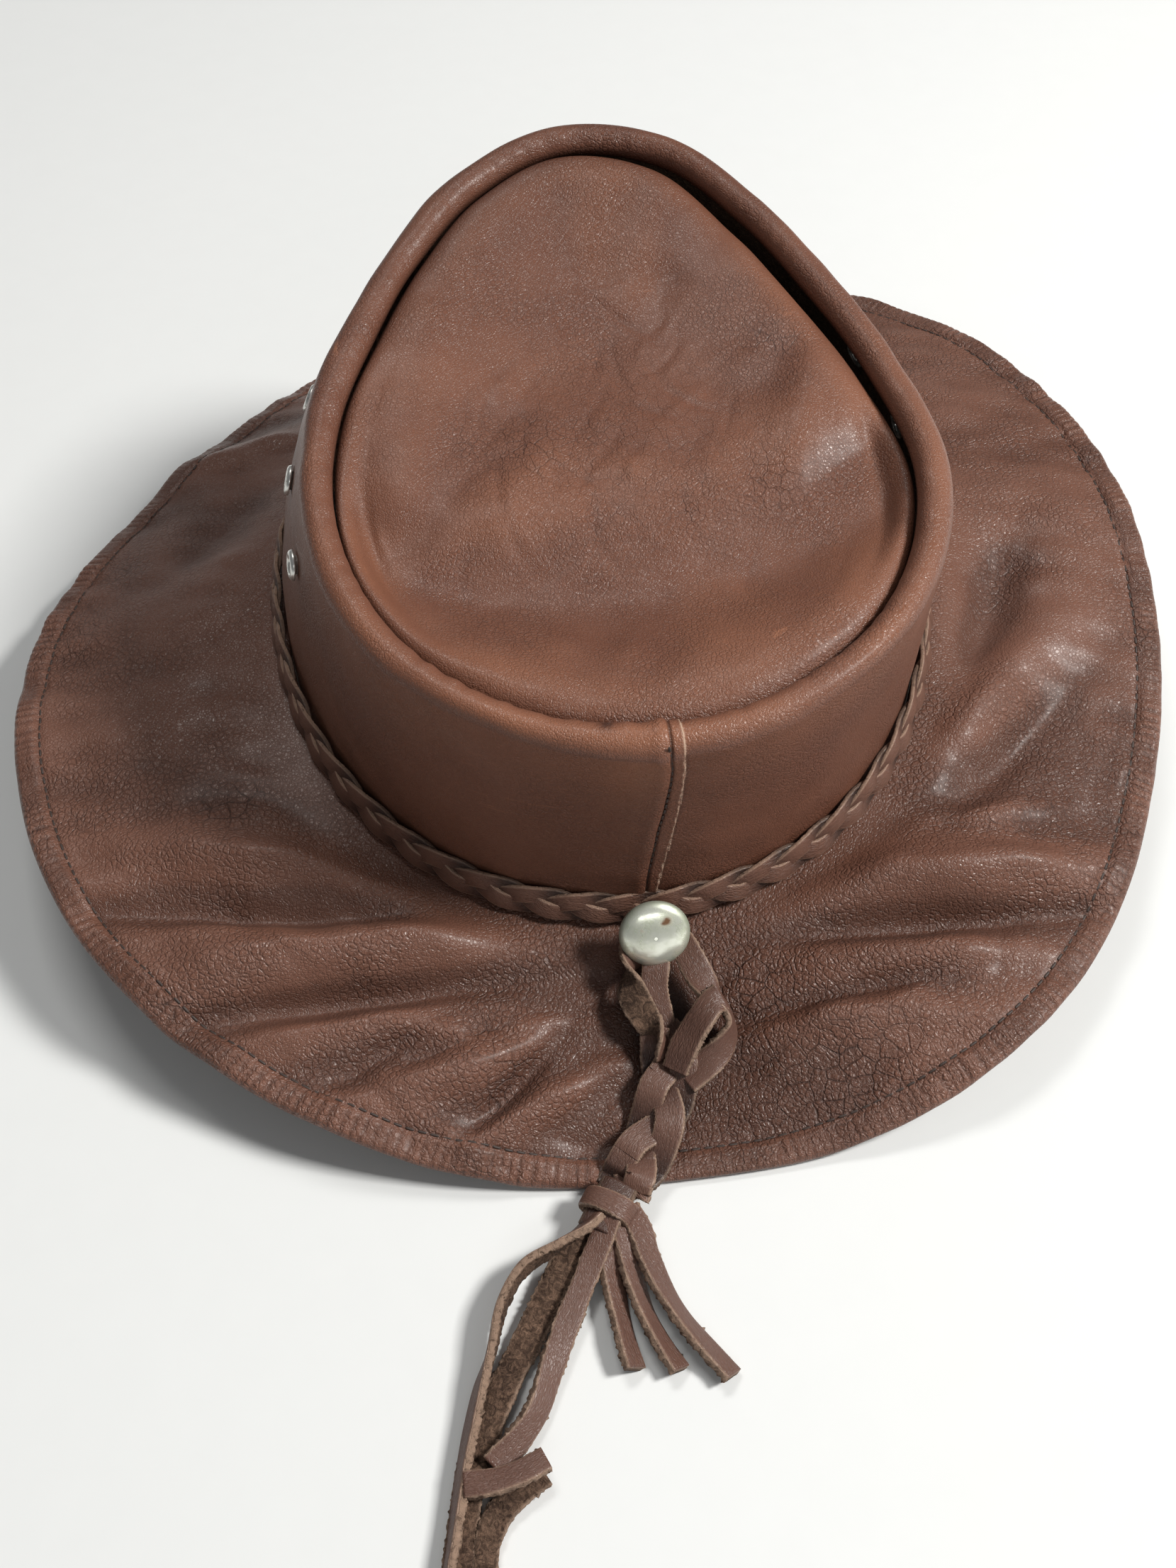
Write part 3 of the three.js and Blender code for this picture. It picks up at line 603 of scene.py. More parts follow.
def makeEyeletMetal():
    # worn silvery eyelets: brushed light metal with dull grey specks
    board, shader, coords = newMaterial("eyeletMetal")
    speck = board.ramp(board.noise(coords, 900.0, 4.0, 0.7), 0.5, 0.75)
    board.feed(shader, Base_Color=board.blend(speck, (0.80, 0.79, 0.75, 1), (0.38, 0.36, 0.31, 1)),
               Roughness=board.plus(0.3, board.times(speck, 0.3)), Metallic=0.85)


def makeButtonMetal():
    # tarnished silver: pale green film, brown rust in a few spots, and a painted dark reflection in
    # dark green towards the rim
    board, shader, coords = newMaterial("buttonMetal")
    film = board.ramp(board.noise(coords, 150.0, 5.0, 0.7), 0.42, 0.75)
    rim = board.mark("rim")
    rust = board.mark("rust")
    colour = board.blend(film, (0.93, 0.95, 0.84, 1), (0.66, 0.70, 0.54, 1))
    # painted dark reflection towards the dome's edge
    colour = board.blend(board.times(rim, 0.65), colour, (0.12, 0.15, 0.09, 1))
    dull = board.times(board.math("MAXIMUM", rim, rust), 0.35)
    board.feed(shader, Base_Color=board.blend(rust, colour, (0.14, 0.065, 0.025, 1)),
               Roughness=board.plus(board.plus(0.2, board.times(film, 0.12)), dull, True),
               Metallic=board.minus(0.62, board.times(rust, 0.6), True),
               Normal=board.bump(board.noise(coords, 1200.0, 3.0, 0.7), 0.1, 0.0002))


def makePaleFloor():
    board, shader, coords = newMaterial("paleFloor")
    speck = board.noise(coords, 90.0)
    board.feed(shader, Roughness=0.8,
               Base_Color=board.blend(speck, (0.755, 0.765, 0.765, 1), (0.735, 0.745, 0.745, 1)))


makeThread()
makeEyeletMetal()
makeButtonMetal()
makePaleFloor()


# The brim

brimShape = dict(around=760, rows=52, edgeRows=14,
                 lesserFolds=70, wave=0.0006, ripple=0.0003, groove=0.00025, pucker=0.0004)
hemShape = dict(around=1900, flatRows=12, roundRows=7, gather=0.0005, pitch=0.0026,
                inset=0.55)
hemStitch = dict(length=0.0022, pitch=0.003, thread=0.0004, inward=0.0002, lift=0.00065)


def lesserFolds(seed, count):
    # short shallow folds scattered over the brim, lying much as the main ones do
    rng = np.random.default_rng(seed)
    most = count * 2 // 3
    angle = concatenate([rng.uniform(0.15, 2.95, most), rng.uniform(0, fullTurn, count - most)])
    share = rng.uniform(0.25, 0.95, count)
    x, y = brimFlat(angle, share)
    turn = np.degrees(angle) - 90 + rng.normal(0, 16, count)
    long = rng.uniform(0.03, 0.09, count)
    wide = rng.uniform(0.007, 0.016, count)
    atBack = 0.2 + 0.8 * exp(-((angle - back) / 0.95) ** 4)
    rise = rng.uniform(0.03, 0.11, count) * rng.choice([-1, 1], count) * atBack
    bend = rng.normal(0, 0.1, count)
    return stack([(x - axisX) / hat["headLength"], (y - axisY) / hat["headLength"],
                  turn, long, wide, bend, rise], -1)


def reachAt(angle):
    return brim["reach"] * around(edgeRows, 0, angle)


def brimFlat(angle, share, grow=0.0003):
    # places on the brim seen from above: out from the crown's foot along its normal
    x, y, out = oval(angle, grow)
    reach = reachAt(angle) * share
    return x + out[..., 0] * reach, y + out[..., 1] * reach


def brimMiddle(angle, share):
    # height of the brim's middle surface: foot to edge in a straight line, plus folds and small waves,
    # and never so low that its under face would pass through the floor
    x, y = brimFlat(angle, share)
    u = (x - axisX) / hat["headLength"]
    v = (y - axisY) / hat["headLength"]
    edge = hat["footLift"] * around(edgeRows, 1, angle)
    z = footHeight(angle) * (1 - share) + edge * share
    folds = brim["foldHeight"] * (strokes(u, v, foldRows) + strokes(u, v, smallFolds))
    small = unevenness(stack([x, y], -1), brimShape, 0.045, 0.014, 5)
    z = z + (folds + small) * ease(0.06, 0.3, share)
    fromEdge = reachAt(angle) * (1 - share)
    inHem = 1 - ease(brim["hemWidth"], brim["hemWidth"] + 0.006, fromEdge)
    clear = hat["leather"] / 2 + (brim["hemThickness"] - hat["leather"]) / 2 * inHem
    return x, y, clear + softPlus(z - clear, 0.0004), fromEdge


def softPlus(value, soft):
    # the value where it is more than 0, else 0, with a rounded corner
    return (value + np.sqrt(value * value + soft * soft)) / 2


smallFolds = lesserFolds(17, brimShape["lesserFolds"])


def gathers(along, pitch, seed):
    # small bulges along the hem with narrow creases between them, of uneven width and height
    turn = stack([cos(along), sin(along)], -1) * 0.16
    wobble = 0.9 * waves(turn, 0.012, seed)
    bulge = np.abs(sin(math.pi * 0.16 * along / pitch + wobble)) ** 0.6
    return bulge * (0.6 + 0.4 * clip(waves(turn, 0.02, seed + 1), -1, 1))


def hemSpace(angle, fromEdge):
    # a space in which grain runs straight across the hem
    return stack([cos(angle) * 0.16, sin(angle) * 0.16, 0.12 * fromEdge], -1)


def makeBrim():
    # a closed skin: the under face from the crown out, a turn inside the hem, and the upper face back
    count = brimShape["around"]
    angle = arange(count) / count * fullTurn
    reach = reachAt(angle)
    hemStart = 1 - (brim["hemWidth"] + 0.004) / reach
    end = 1 - 0.0035 / reach
    inner = linspace(0, 1, brimShape["rows"] - brimShape["edgeRows"], endpoint=False)
    outer = linspace(0, 1, brimShape["edgeRows"])
    share = concatenate([np.outer(hemStart, inner),
                         hemStart[:, None] + np.outer(end - hemStart, outer)], 1)
    angle = broadcast_to(angle[:, None], share.shape)
    x, y, z, fromEdge = brimMiddle(angle, share)
    half = hat["leather"] / 2
    past = fromEdge - brim["hemWidth"]
    near = exp(-clip(past, 0, None) / 0.0035)
    groove = brimShape["groove"] * bell(past, 0.0002, 0.0008)
    pucker = brimShape["pucker"] * (gathers(angle, 0.0052, 23) - 0.6) * near
    top = z + half - groove + pucker
    ridge = ridgeMarks(top, 12, 0.0009)
    worn = 0.35 * clip(ridge, 0, 1)
    # painted shade: darker in the folds' hollows, along the hem's groove and next to the crown's foot
    deep = 0.4 * clip(-ridge, 0, 1) + 0.1 * bell(past, 0.0001, 0.0006) + 0.4 * bell(share, 0, 0.04)
    # a painted shadow on the brim under the button, between the tail's straps
    deep = deep + 0.75 * spot(x - axisX, y - axisY - halfLength, (-0.001, 0.029), (0.010, 0.013))
    besideTail = bell(x - axisX, -0.040, 0.030) * ease(0.45, 0.7, share) * (y > axisY)
    patches = ease(-0.2, 0.6, waves(stack([x, y], -1), 0.05, 91))
    creased = clip(0.25 * ease(0.5, 0.95, share) * patches + 0.65 * besideTail, 0, 1)
    upper = stack([x, y, top], -1)
    under = stack([x, y, z - half], -1)
    none = np.zeros_like(worn)

    def both(low, high):
        return concatenate([low, high[:, ::-1]], 1)
    across = hemSpace(angle, fromEdge)
    shell = makeShell(both(under, upper), True, worn=both(none, worn), deep=both(none, deep),
                      creased=both(none, creased), flesh=both(none + 1, none),
                      gathered=both(none, near), hemSpace=both(across, across))
    return makePiece("brimLeatherSheet", [shell], finish["brimLeather"], "brim_leather", "brim")


def ridgeMarks(height, reach, scale):
    # more than 0 on ridges and less than 0 in hollows: the height less its own blurred copy
    blurred = height
    for _ in range(3):
        blurred = (np.roll(blurred, reach, 0) + blurred + np.roll(blurred, -reach, 0)) / 3
        padded = np.pad(blurred, ((0, 0), (2, 2)), mode="edge")
        blurred = (padded[:, :-4] + padded[:, 2:-2] + padded[:, 4:]) / 3
    return (height - blurred) / scale


def makeHem():
    # the folded edge: a flat roll around the brim, gathered in small bulges and sunk at its inner side
    count = hemShape["around"]
    half = brim["hemThickness"] / 2
    flat = linspace(brim["hemWidth"], half, hemShape["flatRows"], endpoint=False)
    turn = linspace(0, back, hemShape["roundRows"])
    upFrom = concatenate([flat, half * (1 - sin(turn))])
    inset = 1 - hemShape["inset"] * bell(upFrom, brim["hemWidth"], 0.0011)
    upHeight = half * inset * concatenate([np.ones(len(flat)), cos(turn)])
    fromEdge = concatenate([upFrom, upFrom[-2::-1]])
    rise = concatenate([upHeight, -upHeight[-2::-1]])
    isTop = (arange(len(rise)) < len(upFrom)) * 1.0
    angle = (arange(count) / count * fullTurn)[:, None] + 0 * fromEdge[None]
    fromEdge = broadcast_to(fromEdge[None], angle.shape)
    reach = reachAt(angle)
    x, y, z, _ = brimMiddle(angle, 1 - fromEdge / reach)
    bulge = gathers(angle, hemShape["pitch"], 27)
    window = 1 - ease(brim["hemWidth"] - 0.0018, brim["hemWidth"] - 0.0002, fromEdge)
    lift = hemShape["gather"] * (bulge - 0.6) * window * isTop * ease(0, 0.5, rise / half)
    swell = 1 + 0.06 * waves(hemSpace(angle, 0 * fromEdge), 0.03, 28)
    rings = stack([x, y, np.maximum(z + rise * swell + lift, 0)], -1)
    worn = (0.5 * bulge + 0.5 * bell(fromEdge, 0, 0.0012)) * isTop
    # painted shade between the gathers and along the stitch groove
    deep = (0.4 * (1 - bulge) * window + 0.2 * bell(fromEdge, brim["hemWidth"], 0.0005)) * isTop
    shell = makeShell(rings, True, worn=worn, deep=deep, creased=0.2 * isTop[None],
                      gathered=isTop[None], hemSpace=hemSpace(angle, fromEdge))
    makePiece("brimHem", [shell], finish["brimLeather"], "brim_leather", "brim")


onBrim = heightFinder(makeBrim())
makeHem()


def makeHemStitches():
    # a row of short dark stitches in the hem's groove, at even steps
    def seamLine(angle):
        inward = brim["hemWidth"] + hemStitch["inward"]
        return stack(brimMiddle(angle, 1 - inward / reachAt(angle))[:3], -1)
    fine = linspace(0, fullTurn, 4001)
    length = lengthAlong(seamLine(fine))
    count = int(length[-1] / hemStitch["pitch"])
    angle = np.interp((arange(count) + 0.5) / count * length[-1], length, fine)
    centres = seamLine(angle) + [0, 0, hemStitch["lift"]]
    along = direction(centres, True)
    out = unit(np.cross(along, np.cross([0, 0, 1.0], along)))
    stitches = capsules(centres, along, out, hemStitch["length"], hemStitch["thread"])
    makePiece("hemStitches", stitches, finish["darkThread"], "brim_leather")


makeHemStitches()


# The crown

wallShape = dict(around=440, rows=52, seam=0.1, seamColumns=110, wave=0.0004,
                 ripple=0.00012)
seam = dict(lap=0.0011, dip=0.0006, swell=0.0004, line=0.00036, cut=0.00027)
seamStitch = dict(low=0.0325, high=0.094, pitch=0.0024, length=0.0017, thread=0.00035, lift=0.0007)
lipShape = dict(rows=28, first=0.03, over=1.7, uneven=0.02, pucker=0.00018)

# The back seam in millimetres: height, then the places of the stitches and of the raw edge across
# from the crown's axis
seamRows = array([
    (30.8, 0.4, -2.2), (36.8, 0.2, -2.9), (47.7, -1.0, -4.4), (57.2, -1.9, -5.6),
    (67.3, -3.3, -6.6), (79.0, -4.2, -7.1), (85.5, -4.3, -7.1), (93.5, -3.3, -5.9),
]) / 1000


def lipStart(angle):
    # where the lip's round takes over from the wall, so that one runs smoothly into the other
    x, y, out = oval(angle)
    lip = lipPoint(angle)
    inward = (x - lip[..., 0]) * out[..., 0] + (y - lip[..., 1]) * out[..., 1] - crown["lipRadius"]
    slope = crown["fullness"] * inward / (lip[..., 2] - footHeight(angle))
    return clip(np.arctan(slope), -0.1, 0.7)


def wallPoint(angle, share):
    # the wall's outer face: from the foot's oval to where the lip starts to roll over
    x, y, out = oval(angle)
    lip = lipPoint(angle)
    lean = share ** crown["fullness"]
    blended = unit(out * (1 - share[..., None]) + lipOut(angle) * share[..., None])
    start = lipStart(angle)
    reach = crown["lipRadius"] * cos(start)
    topX = lip[..., 0] + blended[..., 0] * reach
    topY = lip[..., 1] + blended[..., 1] * reach
    topZ = lip[..., 2] + crown["lipRadius"] * sin(start)
    foot = footHeight(angle)
    place = stack([x + (topX - x) * lean, y + (topY - y) * lean, foot + (topZ - foot) * share], -1)
    return place, blended


def seamOffsets(points):
    # how far points at the back lie past the stitches and past the raw edge, towards the wearer's left
    x = points[..., 0] - axisX
    stitches = x - np.interp(points[..., 2], seamRows[:, 0], seamRows[:, 1])
    ragged = 0.0003 * waves(points[..., 2:], 0.002, 33, 12)
    edge = x - np.interp(points[..., 2], seamRows[:, 0], seamRows[:, 2]) + ragged
    return stitches, edge, (points[..., 1] > axisY) * 1.0


def seamRelief(points):
    # the lap stands proud beyond its raw edge, dips at the stitches and swells beside them
    stitches, edge, isBack = seamOffsets(points)
    lap = seam["lap"] * ease(-0.0001, 0.0001, edge) * (1 - ease(0.004, 0.028, edge))
    dip = seam["dip"] * bell(stitches, 0, 0.00038)
    swell = seam["swell"] * bell(stitches, 0.0022, 0.0018)
    return (lap - dip + swell) * isBack


def makeWall():
    # outer face from the bottom up, around the rolled lip, and down the inner face
    base = arange(wallShape["around"]) / wallShape["around"] * fullTurn
    dense = back + linspace(-wallShape["seam"], wallShape["seam"], wallShape["seamColumns"])
    angle = np.unique(concatenate([base[np.abs(base - back) > wallShape["seam"] + 0.004], dense]))
    share = linspace(0, 1, wallShape["rows"])
    a, s = np.meshgrid(angle, share, indexing="ij")
    plain, out = wallPoint(a, s)
    stitches, edge, isBack = seamOffsets(plain)
    small = unevenness(plain, wallShape, 0.06, 0.014, 31)
    moved = small * ease(0, 0.2, s) + seamRelief(plain) * ease(0.0, 0.04, s)
    flatOut = concatenate([out, np.zeros(out.shape[:2] + (1,))], -1)
    outer = plain + flatOut * moved[..., None]
    inner = plain - flatOut * hat["leather"]
    bottom = array([0, 0, -hat["leather"]])
    lip, lipWorn, lipShadeAndTear, lipRaw = lipSkin(angle, moved[:, -1])
    rings = [outer[:, :1] + bottom, outer, lip, inner[:, ::-1], inner[:, :1] + bottom]
    # painted shade in the stitch groove and at the wall's foot, and a thin painted shadow beside the
    # lap's raw edge
    deep = 0.9 * bell(stitches, 0, seam["line"]) * isBack + 0.35 * bell(s, 0, 0.03)
    deep = deep + 0.5 * bell(edge, -0.0006, 0.0005) * isBack
    beside = bell(stitches, 0.008, 0.009) * isBack
    worn = 0.3 * ease(0.7, 1.0, s) + 0.5 * beside * ease(0.55, 0.95, s)
    raw = bell(edge, 0.00002, seam["cut"]) * isBack * ease(0.0, 0.05, s)
    ends = np.zeros((len(angle), 1))
    none = 0 * s
    marks = dict(worn=[ends, worn, lipWorn, none, ends], deep=[ends, deep, lipShadeAndTear, none, ends],
                 raw=[ends, raw, lipRaw, none, ends],
                 flesh=[ends, none, 0 * lipWorn, none + 1, ends + 1])
    marks = {name: concatenate(parts, 1) for name, parts in marks.items()}
    shell = makeShell(concatenate(rings, 1), True, **marks)
    makePiece("crownWall", [shell], finish["crownLeather"], "crown_leather", "crown_side")


def lipSkin(angle, moved):
    # the rolled lip: a slightly uneven round about its centre line, from the wall to the tip's seam
    lip = lipPoint(angle)[:, None]
    out = lipOut(angle)[:, None]
    share = linspace(lipShape["first"], 1, lipShape["rows"])[None]
    start = lipStart(angle)[:, None]
    turn = start + share * (math.pi + lipShape["over"] - start)
    ring = stack([cos(angle), sin(angle)], -1) * 0.09
    seamPlace = lip + [0, 0, -0.001]
    stitches, edge, isBack = seamOffsets(seamPlace)
    fade = 1 - ease(math.pi * 0.75, math.pi * 1.1, turn)
    uneven = lipShape["uneven"] * waves(ring, 0.05, 41)[:, None] * ease(0.0, 0.3, share)
    pucker = lipShape["pucker"] * waves(ring, 0.005, 43)[:, None] * bell(turn, 2.3, 0.6)
    early = 1 - ease(0.0, 0.25, share)
    r = crown["lipRadius"] * (1 + uneven) + pucker + moved[:, None] * early
    r = r + 0.7 * seamRelief(seamPlace) * fade * (1 - early)
    x = lip[..., 0] + out[..., 0] * r * cos(turn)
    y = lip[..., 1] + out[..., 1] * r * cos(turn)
    z = lip[..., 2] + r * sin(turn)
    backward = sin(angle)[:, None]
    # painted shade in the crevice down to the tip, in the stitch groove and towards the front; the last
    # spot is a real dark tear beside the stitches
    deep = 0.7 * ease(2.9, 3.5, turn) + 0.8 * bell(stitches, 0, seam["line"]) * isBack * fade
    deep = deep + 0.3 * ease(0.0, -0.9, backward) * bell(turn, 1.5, 1.0)
    deep = deep + 1.3 * spot(stitches, turn, (0.0135, 2.1), (0.0016, 0.5)) * isBack
    beside = bell(stitches, 0.010, 0.012) * isBack
    toBack = 0.1 + 0.9 * ease(-0.2, 0.8, backward)
    worn = 0.65 * toBack + 0.2 * waves(ring, 0.03, 44)[:, None] + 0.6 * beside
    raw = bell(edge, 0.00002, seam["cut"]) * isBack * fade
    return stack([x, y, z], -1), clip(worn * bell(turn, 1.3, 0.8), 0, 1), clip(deep, 0, 1), raw


def makeSeamStitches():
    # short dark stitches down the back seam
    z = arange(seamStitch["low"], seamStitch["high"], seamStitch["pitch"])
    x = np.interp(z, seamRows[:, 0], seamRows[:, 1])
    share = linspace(0, 1, 400)
    column, _ = wallPoint(np.full(400, back), share)
    y = np.interp(z, column[:, 2], column[:, 1])
    centres = stack([axisX + x, y + seamStitch["lift"], z], -1)
    along = direction(centres)
    out = unit(np.cross(along, [1.0, 0, 0]))
    out = out * np.sign(out[:, 1:2])
    stitches = capsules(centres, along, out, seamStitch["length"], seamStitch["thread"])
    makePiece("seamStitches", stitches, finish["darkThread"], "crown_leather")


makeWall()
makeSeamStitches()

tipShape = dict(grid=170, creases=130, level=0.70, dentPlace=0.30, dentWide=0.10,
                wave=0.0004, ripple=0.00018)

# Dents and folds of the tip, in the columns of foldRows, with rises as shares of the crown's dent
tipRows = [
    (-0.31, 0.12, 35, 0.10, 0.028, 0.0, -0.20),
    (-0.33, 0.17, 35, 0.09, 0.03, 0.0, 0.16),
    (-0.26, 0.05, 80, 0.12, 0.045, 0.0, 0.25),
    (0.02, 0.12, 85, 0.12, 0.05, 0.0, -0.12),
    (0.18, 0.10, 60, 0.12, 0.05, 0.0, -0.22),
    (0.29, 0.02, 80, 0.14, 0.04, 0.0, -0.25),
    (0.20, 0.20, 20, 0.10, 0.04, 0.0, 0.14),
]


def creaseRows(seed, count):
    # a web of short fine creases and swellings around the middle of the tip
    rng = np.random.default_rng(seed)
    x = rng.normal(-0.02, 0.13, count)
    y = rng.normal(0.08, 0.13, count)
    turn = rng.normal(80, 40, count)
    long = rng.uniform(0.02, 0.06, count)
    wide = rng.uniform(0.004, 0.010, count)
    bend = rng.normal(0, 0.15, count)
    return stack([x, y, turn, long, wide, bend, rng.uniform(-0.05, 0.03, count)], -1)


tipCreases = creaseRows(61, tipShape["creases"])


def tipMiddle(angle, share):
    # the tip's middle surface: a bowl from its middle level out to the seam, a soft shoulder along the
    # seam, one long dent across the back, folds and small waves
    lip = lipPoint(angle)
    out = lipOut(angle)
    inset = crown["lipRadius"] + 0.00015
    seamPlaceX = lip[..., 0] - out[..., 0] * inset - axisX
    seamPlaceY = lip[..., 1] - out[..., 1] * inset - axisY
    x = seamPlaceX * share
    y = seamPlaceY * share
    drop = crown["tipDrop"] * around(lipRows, 2, angle)
    middle = hat["footLift"] + crown["height"] * tipShape["level"]
    fromSeam = (1 - share) * np.hypot(seamPlaceX, seamPlaceY)
    shoulder = crown["pillow"] + drop - crown["tipDrop"]
    pillow = shoulder * (1 - exp(-fromSeam / crown["lipRadius"])) * share ** 2
    length = hat["headLength"]
    across = y - tipShape["dentPlace"] * length + 1.1 * x * x / length
    dent = crown["dent"] * bell(across, 0, tipShape["dentWide"] * length)
    folds = strokes(x / length, y / length, tipRows) + strokes(x / length, y / length, tipCreases)
    folds = crown["dent"] * folds
    small = unevenness(stack([x, y], -1), tipShape, 0.05, 0.013, 51)
    inside = ease(0, 2 * crown["lipRadius"], fromSeam)
    z = middle * (1 - share ** 2) + (lip[..., 2] - drop) * share ** 2 + pillow
    return x + axisX, y + axisY, z + (folds + small - dent) * inside, fromSeam


def makeTip():
    # a square grid pressed into a disc, once for each face, with a narrow skin around its edge
    line = linspace(-1, 1, tipShape["grid"])
    u, v = np.meshgrid(line, line, indexing="ij")
    dx = u * np.sqrt(1 - v * v / 2)
    dy = v * np.sqrt(1 - u * u / 2)
    angle = np.arctan2(dy, dx)
    share = clip(np.hypot(dx, dy), 0, 1)
    x, y, z, fromSeam = tipMiddle(angle, share)
    ridge = (z - blurGrid(z, 5)) / 0.0006
    inner = share < 0.97
    flat = stack([x, y], -1)
    orange = clip(waves(flat, 0.05, 53), 0, 1) * 0.25
    worn = 0.18 * clip(ridge, 0, 1) * inner + orange + 0.2 * bell(fromSeam, 0.008, 0.004)
    # painted shade in the hollows, in the crevice along the seam (most at the left front) and towards
    # the front
    deep = 0.1 * clip(-ridge, 0, 1) * inner + 0.6 * (1 - ease(0.0, 0.0014, fromSeam))
    deep = deep + 0.55 * bell(angle, -1.18, 0.8) * bell(fromSeam, 0, 0.009)
    deep = deep + 0.16 * ease(0.0, -0.09, y - axisY)
    creased = 0.55 * spot(x - axisX, y - axisY, (-0.004, 0.014), (0.036, 0.034))
    top = stack([x, y, z + hat["leather"] / 2], -1)
    bottom = stack([x, y, z - hat["leather"] / 2], -1)
    shell = discShell(top, bottom, worn=worn, deep=deep, creased=creased)
    makePiece("crownTip", [shell], finish["crownLeather"], "crown_leather", "crown_top")


def blurGrid(values, reach):
    # the mean of each value and four others at a distance, three times over
    for _ in range(3):
        padded = np.pad(values, reach, mode="edge")
        n, m = values.shape
        values = (padded[:n, reach:-reach] + padded[2 * reach:, reach:-reach] + padded[reach:-reach, :m]
                  + padded[reach:-reach, 2 * reach:] + values) / 5
    return values


def discShell(top, bottom, **upperMarks):
    # two grids of the same shape, joined around their border
    n, m = top.shape[:2]
    index = arange(n * m).reshape(n, m)
    a, b, c, d = index[:-1, :-1], index[1:, :-1], index[1:, 1:], index[:-1, 1:]
    upper = stack([a, b, c, d], -1).reshape(-1, 4)
    lower = upper[:, ::-1] + n * m
    border = concatenate([index[:-1, 0], index[-1, :-1], index[:0:-1, -1], index[0, :0:-1]])
    after = np.roll(border, -1)
    skin = stack([border, border + n * m, after + n * m, after], -1)
    none = np.zeros(n * m)
    marks = {name: concatenate([mark.ravel(), none]) for name, mark in upperMarks.items()}
    marks["flesh"] = concatenate([none, none + 1])
    verts = concatenate([top.reshape(-1, 3), bottom.reshape(-1, 3)])
    quads = concatenate([upper, lower, skin])
    return facingOut(dict(verts=verts, quads=quads, tris=np.zeros((0, 3), int), marks=marks))


makeTip()


# Eyelets and button

eyelet = dict(radius=0.0039, bore=0.0018, tube=0.0024, front=0.0003, behind=-0.0023, flange=0.0012,
              smallFlange=0.0007, turns=36)


def lathe(profile, count):
    # a profile of (radius, height) turned around +Z; it starts and ends on the axis or closes on itself
    turn = arange(count) / count * fullTurn
    r = profile[:, 0][None, :, None]
    ring = stack([cos(turn), sin(turn), 0 * turn], -1)[:, None] * r
    ring[..., 2] += profile[:, 1][None]
    return ring


def placed(points, place, towards):
    # turns +Z into a direction and moves the points to a place
    turn = Vector((0, 0, 1)).rotation_difference(Vector(towards)).to_matrix()
    return points @ array(turn).T + np.asarray(place)


def makeEyelets():
    # each eyelet is a rounded ring on the wall's outside, a tube through it, and a smaller ring inside
    t = linspace(0, math.pi, 9)
    middle = (eyelet["radius"] + eyelet["bore"]) / 2
    half = (eyelet["radius"] - eyelet["bore"]) / 2
    outside = [middle + half * cos(t), eyelet["front"] + eyelet["flange"] * sin(t)]
    inside = [middle - half * cos(t) * 0.8, eyelet["behind"] - eyelet["smallFlange"] * sin(t)]
    start, end = [[eyelet["tube"], eyelet["front"]]], [[eyelet["tube"], eyelet["behind"]]]
    profile = concatenate([start, stack(outside, -1), stack(inside, -1), end])
    ring = lathe(profile, eyelet["turns"])
    for side, sign in (("left", 1), ("right", -1)):
        for number in (1, 2, 3):
            node = f"eyelet_{side}_{number}"
            low, high = corners(node)
            shell = makeShell(placed(ring, *eyeletSeat((low + high) / 2, sign)), True)
            name = f"eyeletRing{side.capitalize()}{number}"
            makePiece(name, [shell], finish["eyeletMetal"], "eyelet_metal", node)


def eyeletSeat(middle, side):
    # the nearest spot of the wall's outer face and its normal there
    a, s = np.meshgrid(linspace(-0.7, 0.5, 400), linspace(0.5, 0.95, 120), indexing="ij")
    angle = a if side > 0 else math.pi - a
    points, _ = wallPoint(angle, s)
    near = np.unravel_index(np.argmin(np.linalg.norm(points - middle, axis=-1)), a.shape)
    step = 0.01
    at = array([angle[near]]), array([s[near]])
    alongWall = wallPoint(at[0] + step, at[1])[0][0] - wallPoint(at[0] - step, at[1])[0][0]
    upWall = wallPoint(at[0], at[1] + step)[0][0] - wallPoint(at[0], at[1] - step)[0][0]
    return points[near], unit(np.cross(alongWall, upWall))


makeEyelets()

button = dict(radius=0.0087, dome=0.0036, tilt=math.radians(30), shank=0.0015, depth=0.0074, turns=72)

# Rust on the button: strength, place across the dome, and size
rustSpots = [
    (1.8, (-0.0030, -0.0042), (0.0009, 0.0009)),
    (1.0, (-0.0019, -0.0037), (0.0006, 0.0005)),
    (0.9, (0.0032, -0.0024), (0.00035, 0.00035)),
]


def makeButton():
    # a dome with a rolled rim on a short shank, tilted up at the back of the band
    low, high = corners("button")
    towards = array([0, math.cos(button["tilt"]), math.sin(button["tilt"])])
    radius = button["radius"]
    shank = button["shank"]
    t = linspace(0, back, 24)
    dome = [radius * sin(t) ** 0.95, button["dome"] * (0.12 + 0.88 * cos(t) ** 0.9)]
    underneath = [[radius * 0.97, 0], [shank, 0], [shank, -button["depth"]], [0, -button["depth"]]]
    profile = concatenate([stack(dome, -1), underneath])
    reachY, reachZ = buttonReach()
    seat = array([(low[0] + high[0]) / 2, high[1] - reachY, high[2] - reachZ])
    points = lathe(profile, button["turns"])
    x, y, z = (points[..., k] for k in range(3))
    # where the painted dark reflection lies: the outer part of the dome
    rim = ease(0.8, 1.0, profile[:, 0] / radius) * (profile[:, 1] > -0.001)
    rust = sum(strength * spot(x, y, place, size) for strength, place, size in rustSpots) * (z > 0)
    shell = makeShell(placed(points, seat, towards), True, rim=rim[None], rust=clip(rust, 0, 1))
    makePiece("domedButton", [shell], finish["buttonMetal"], "button_metal", "button")


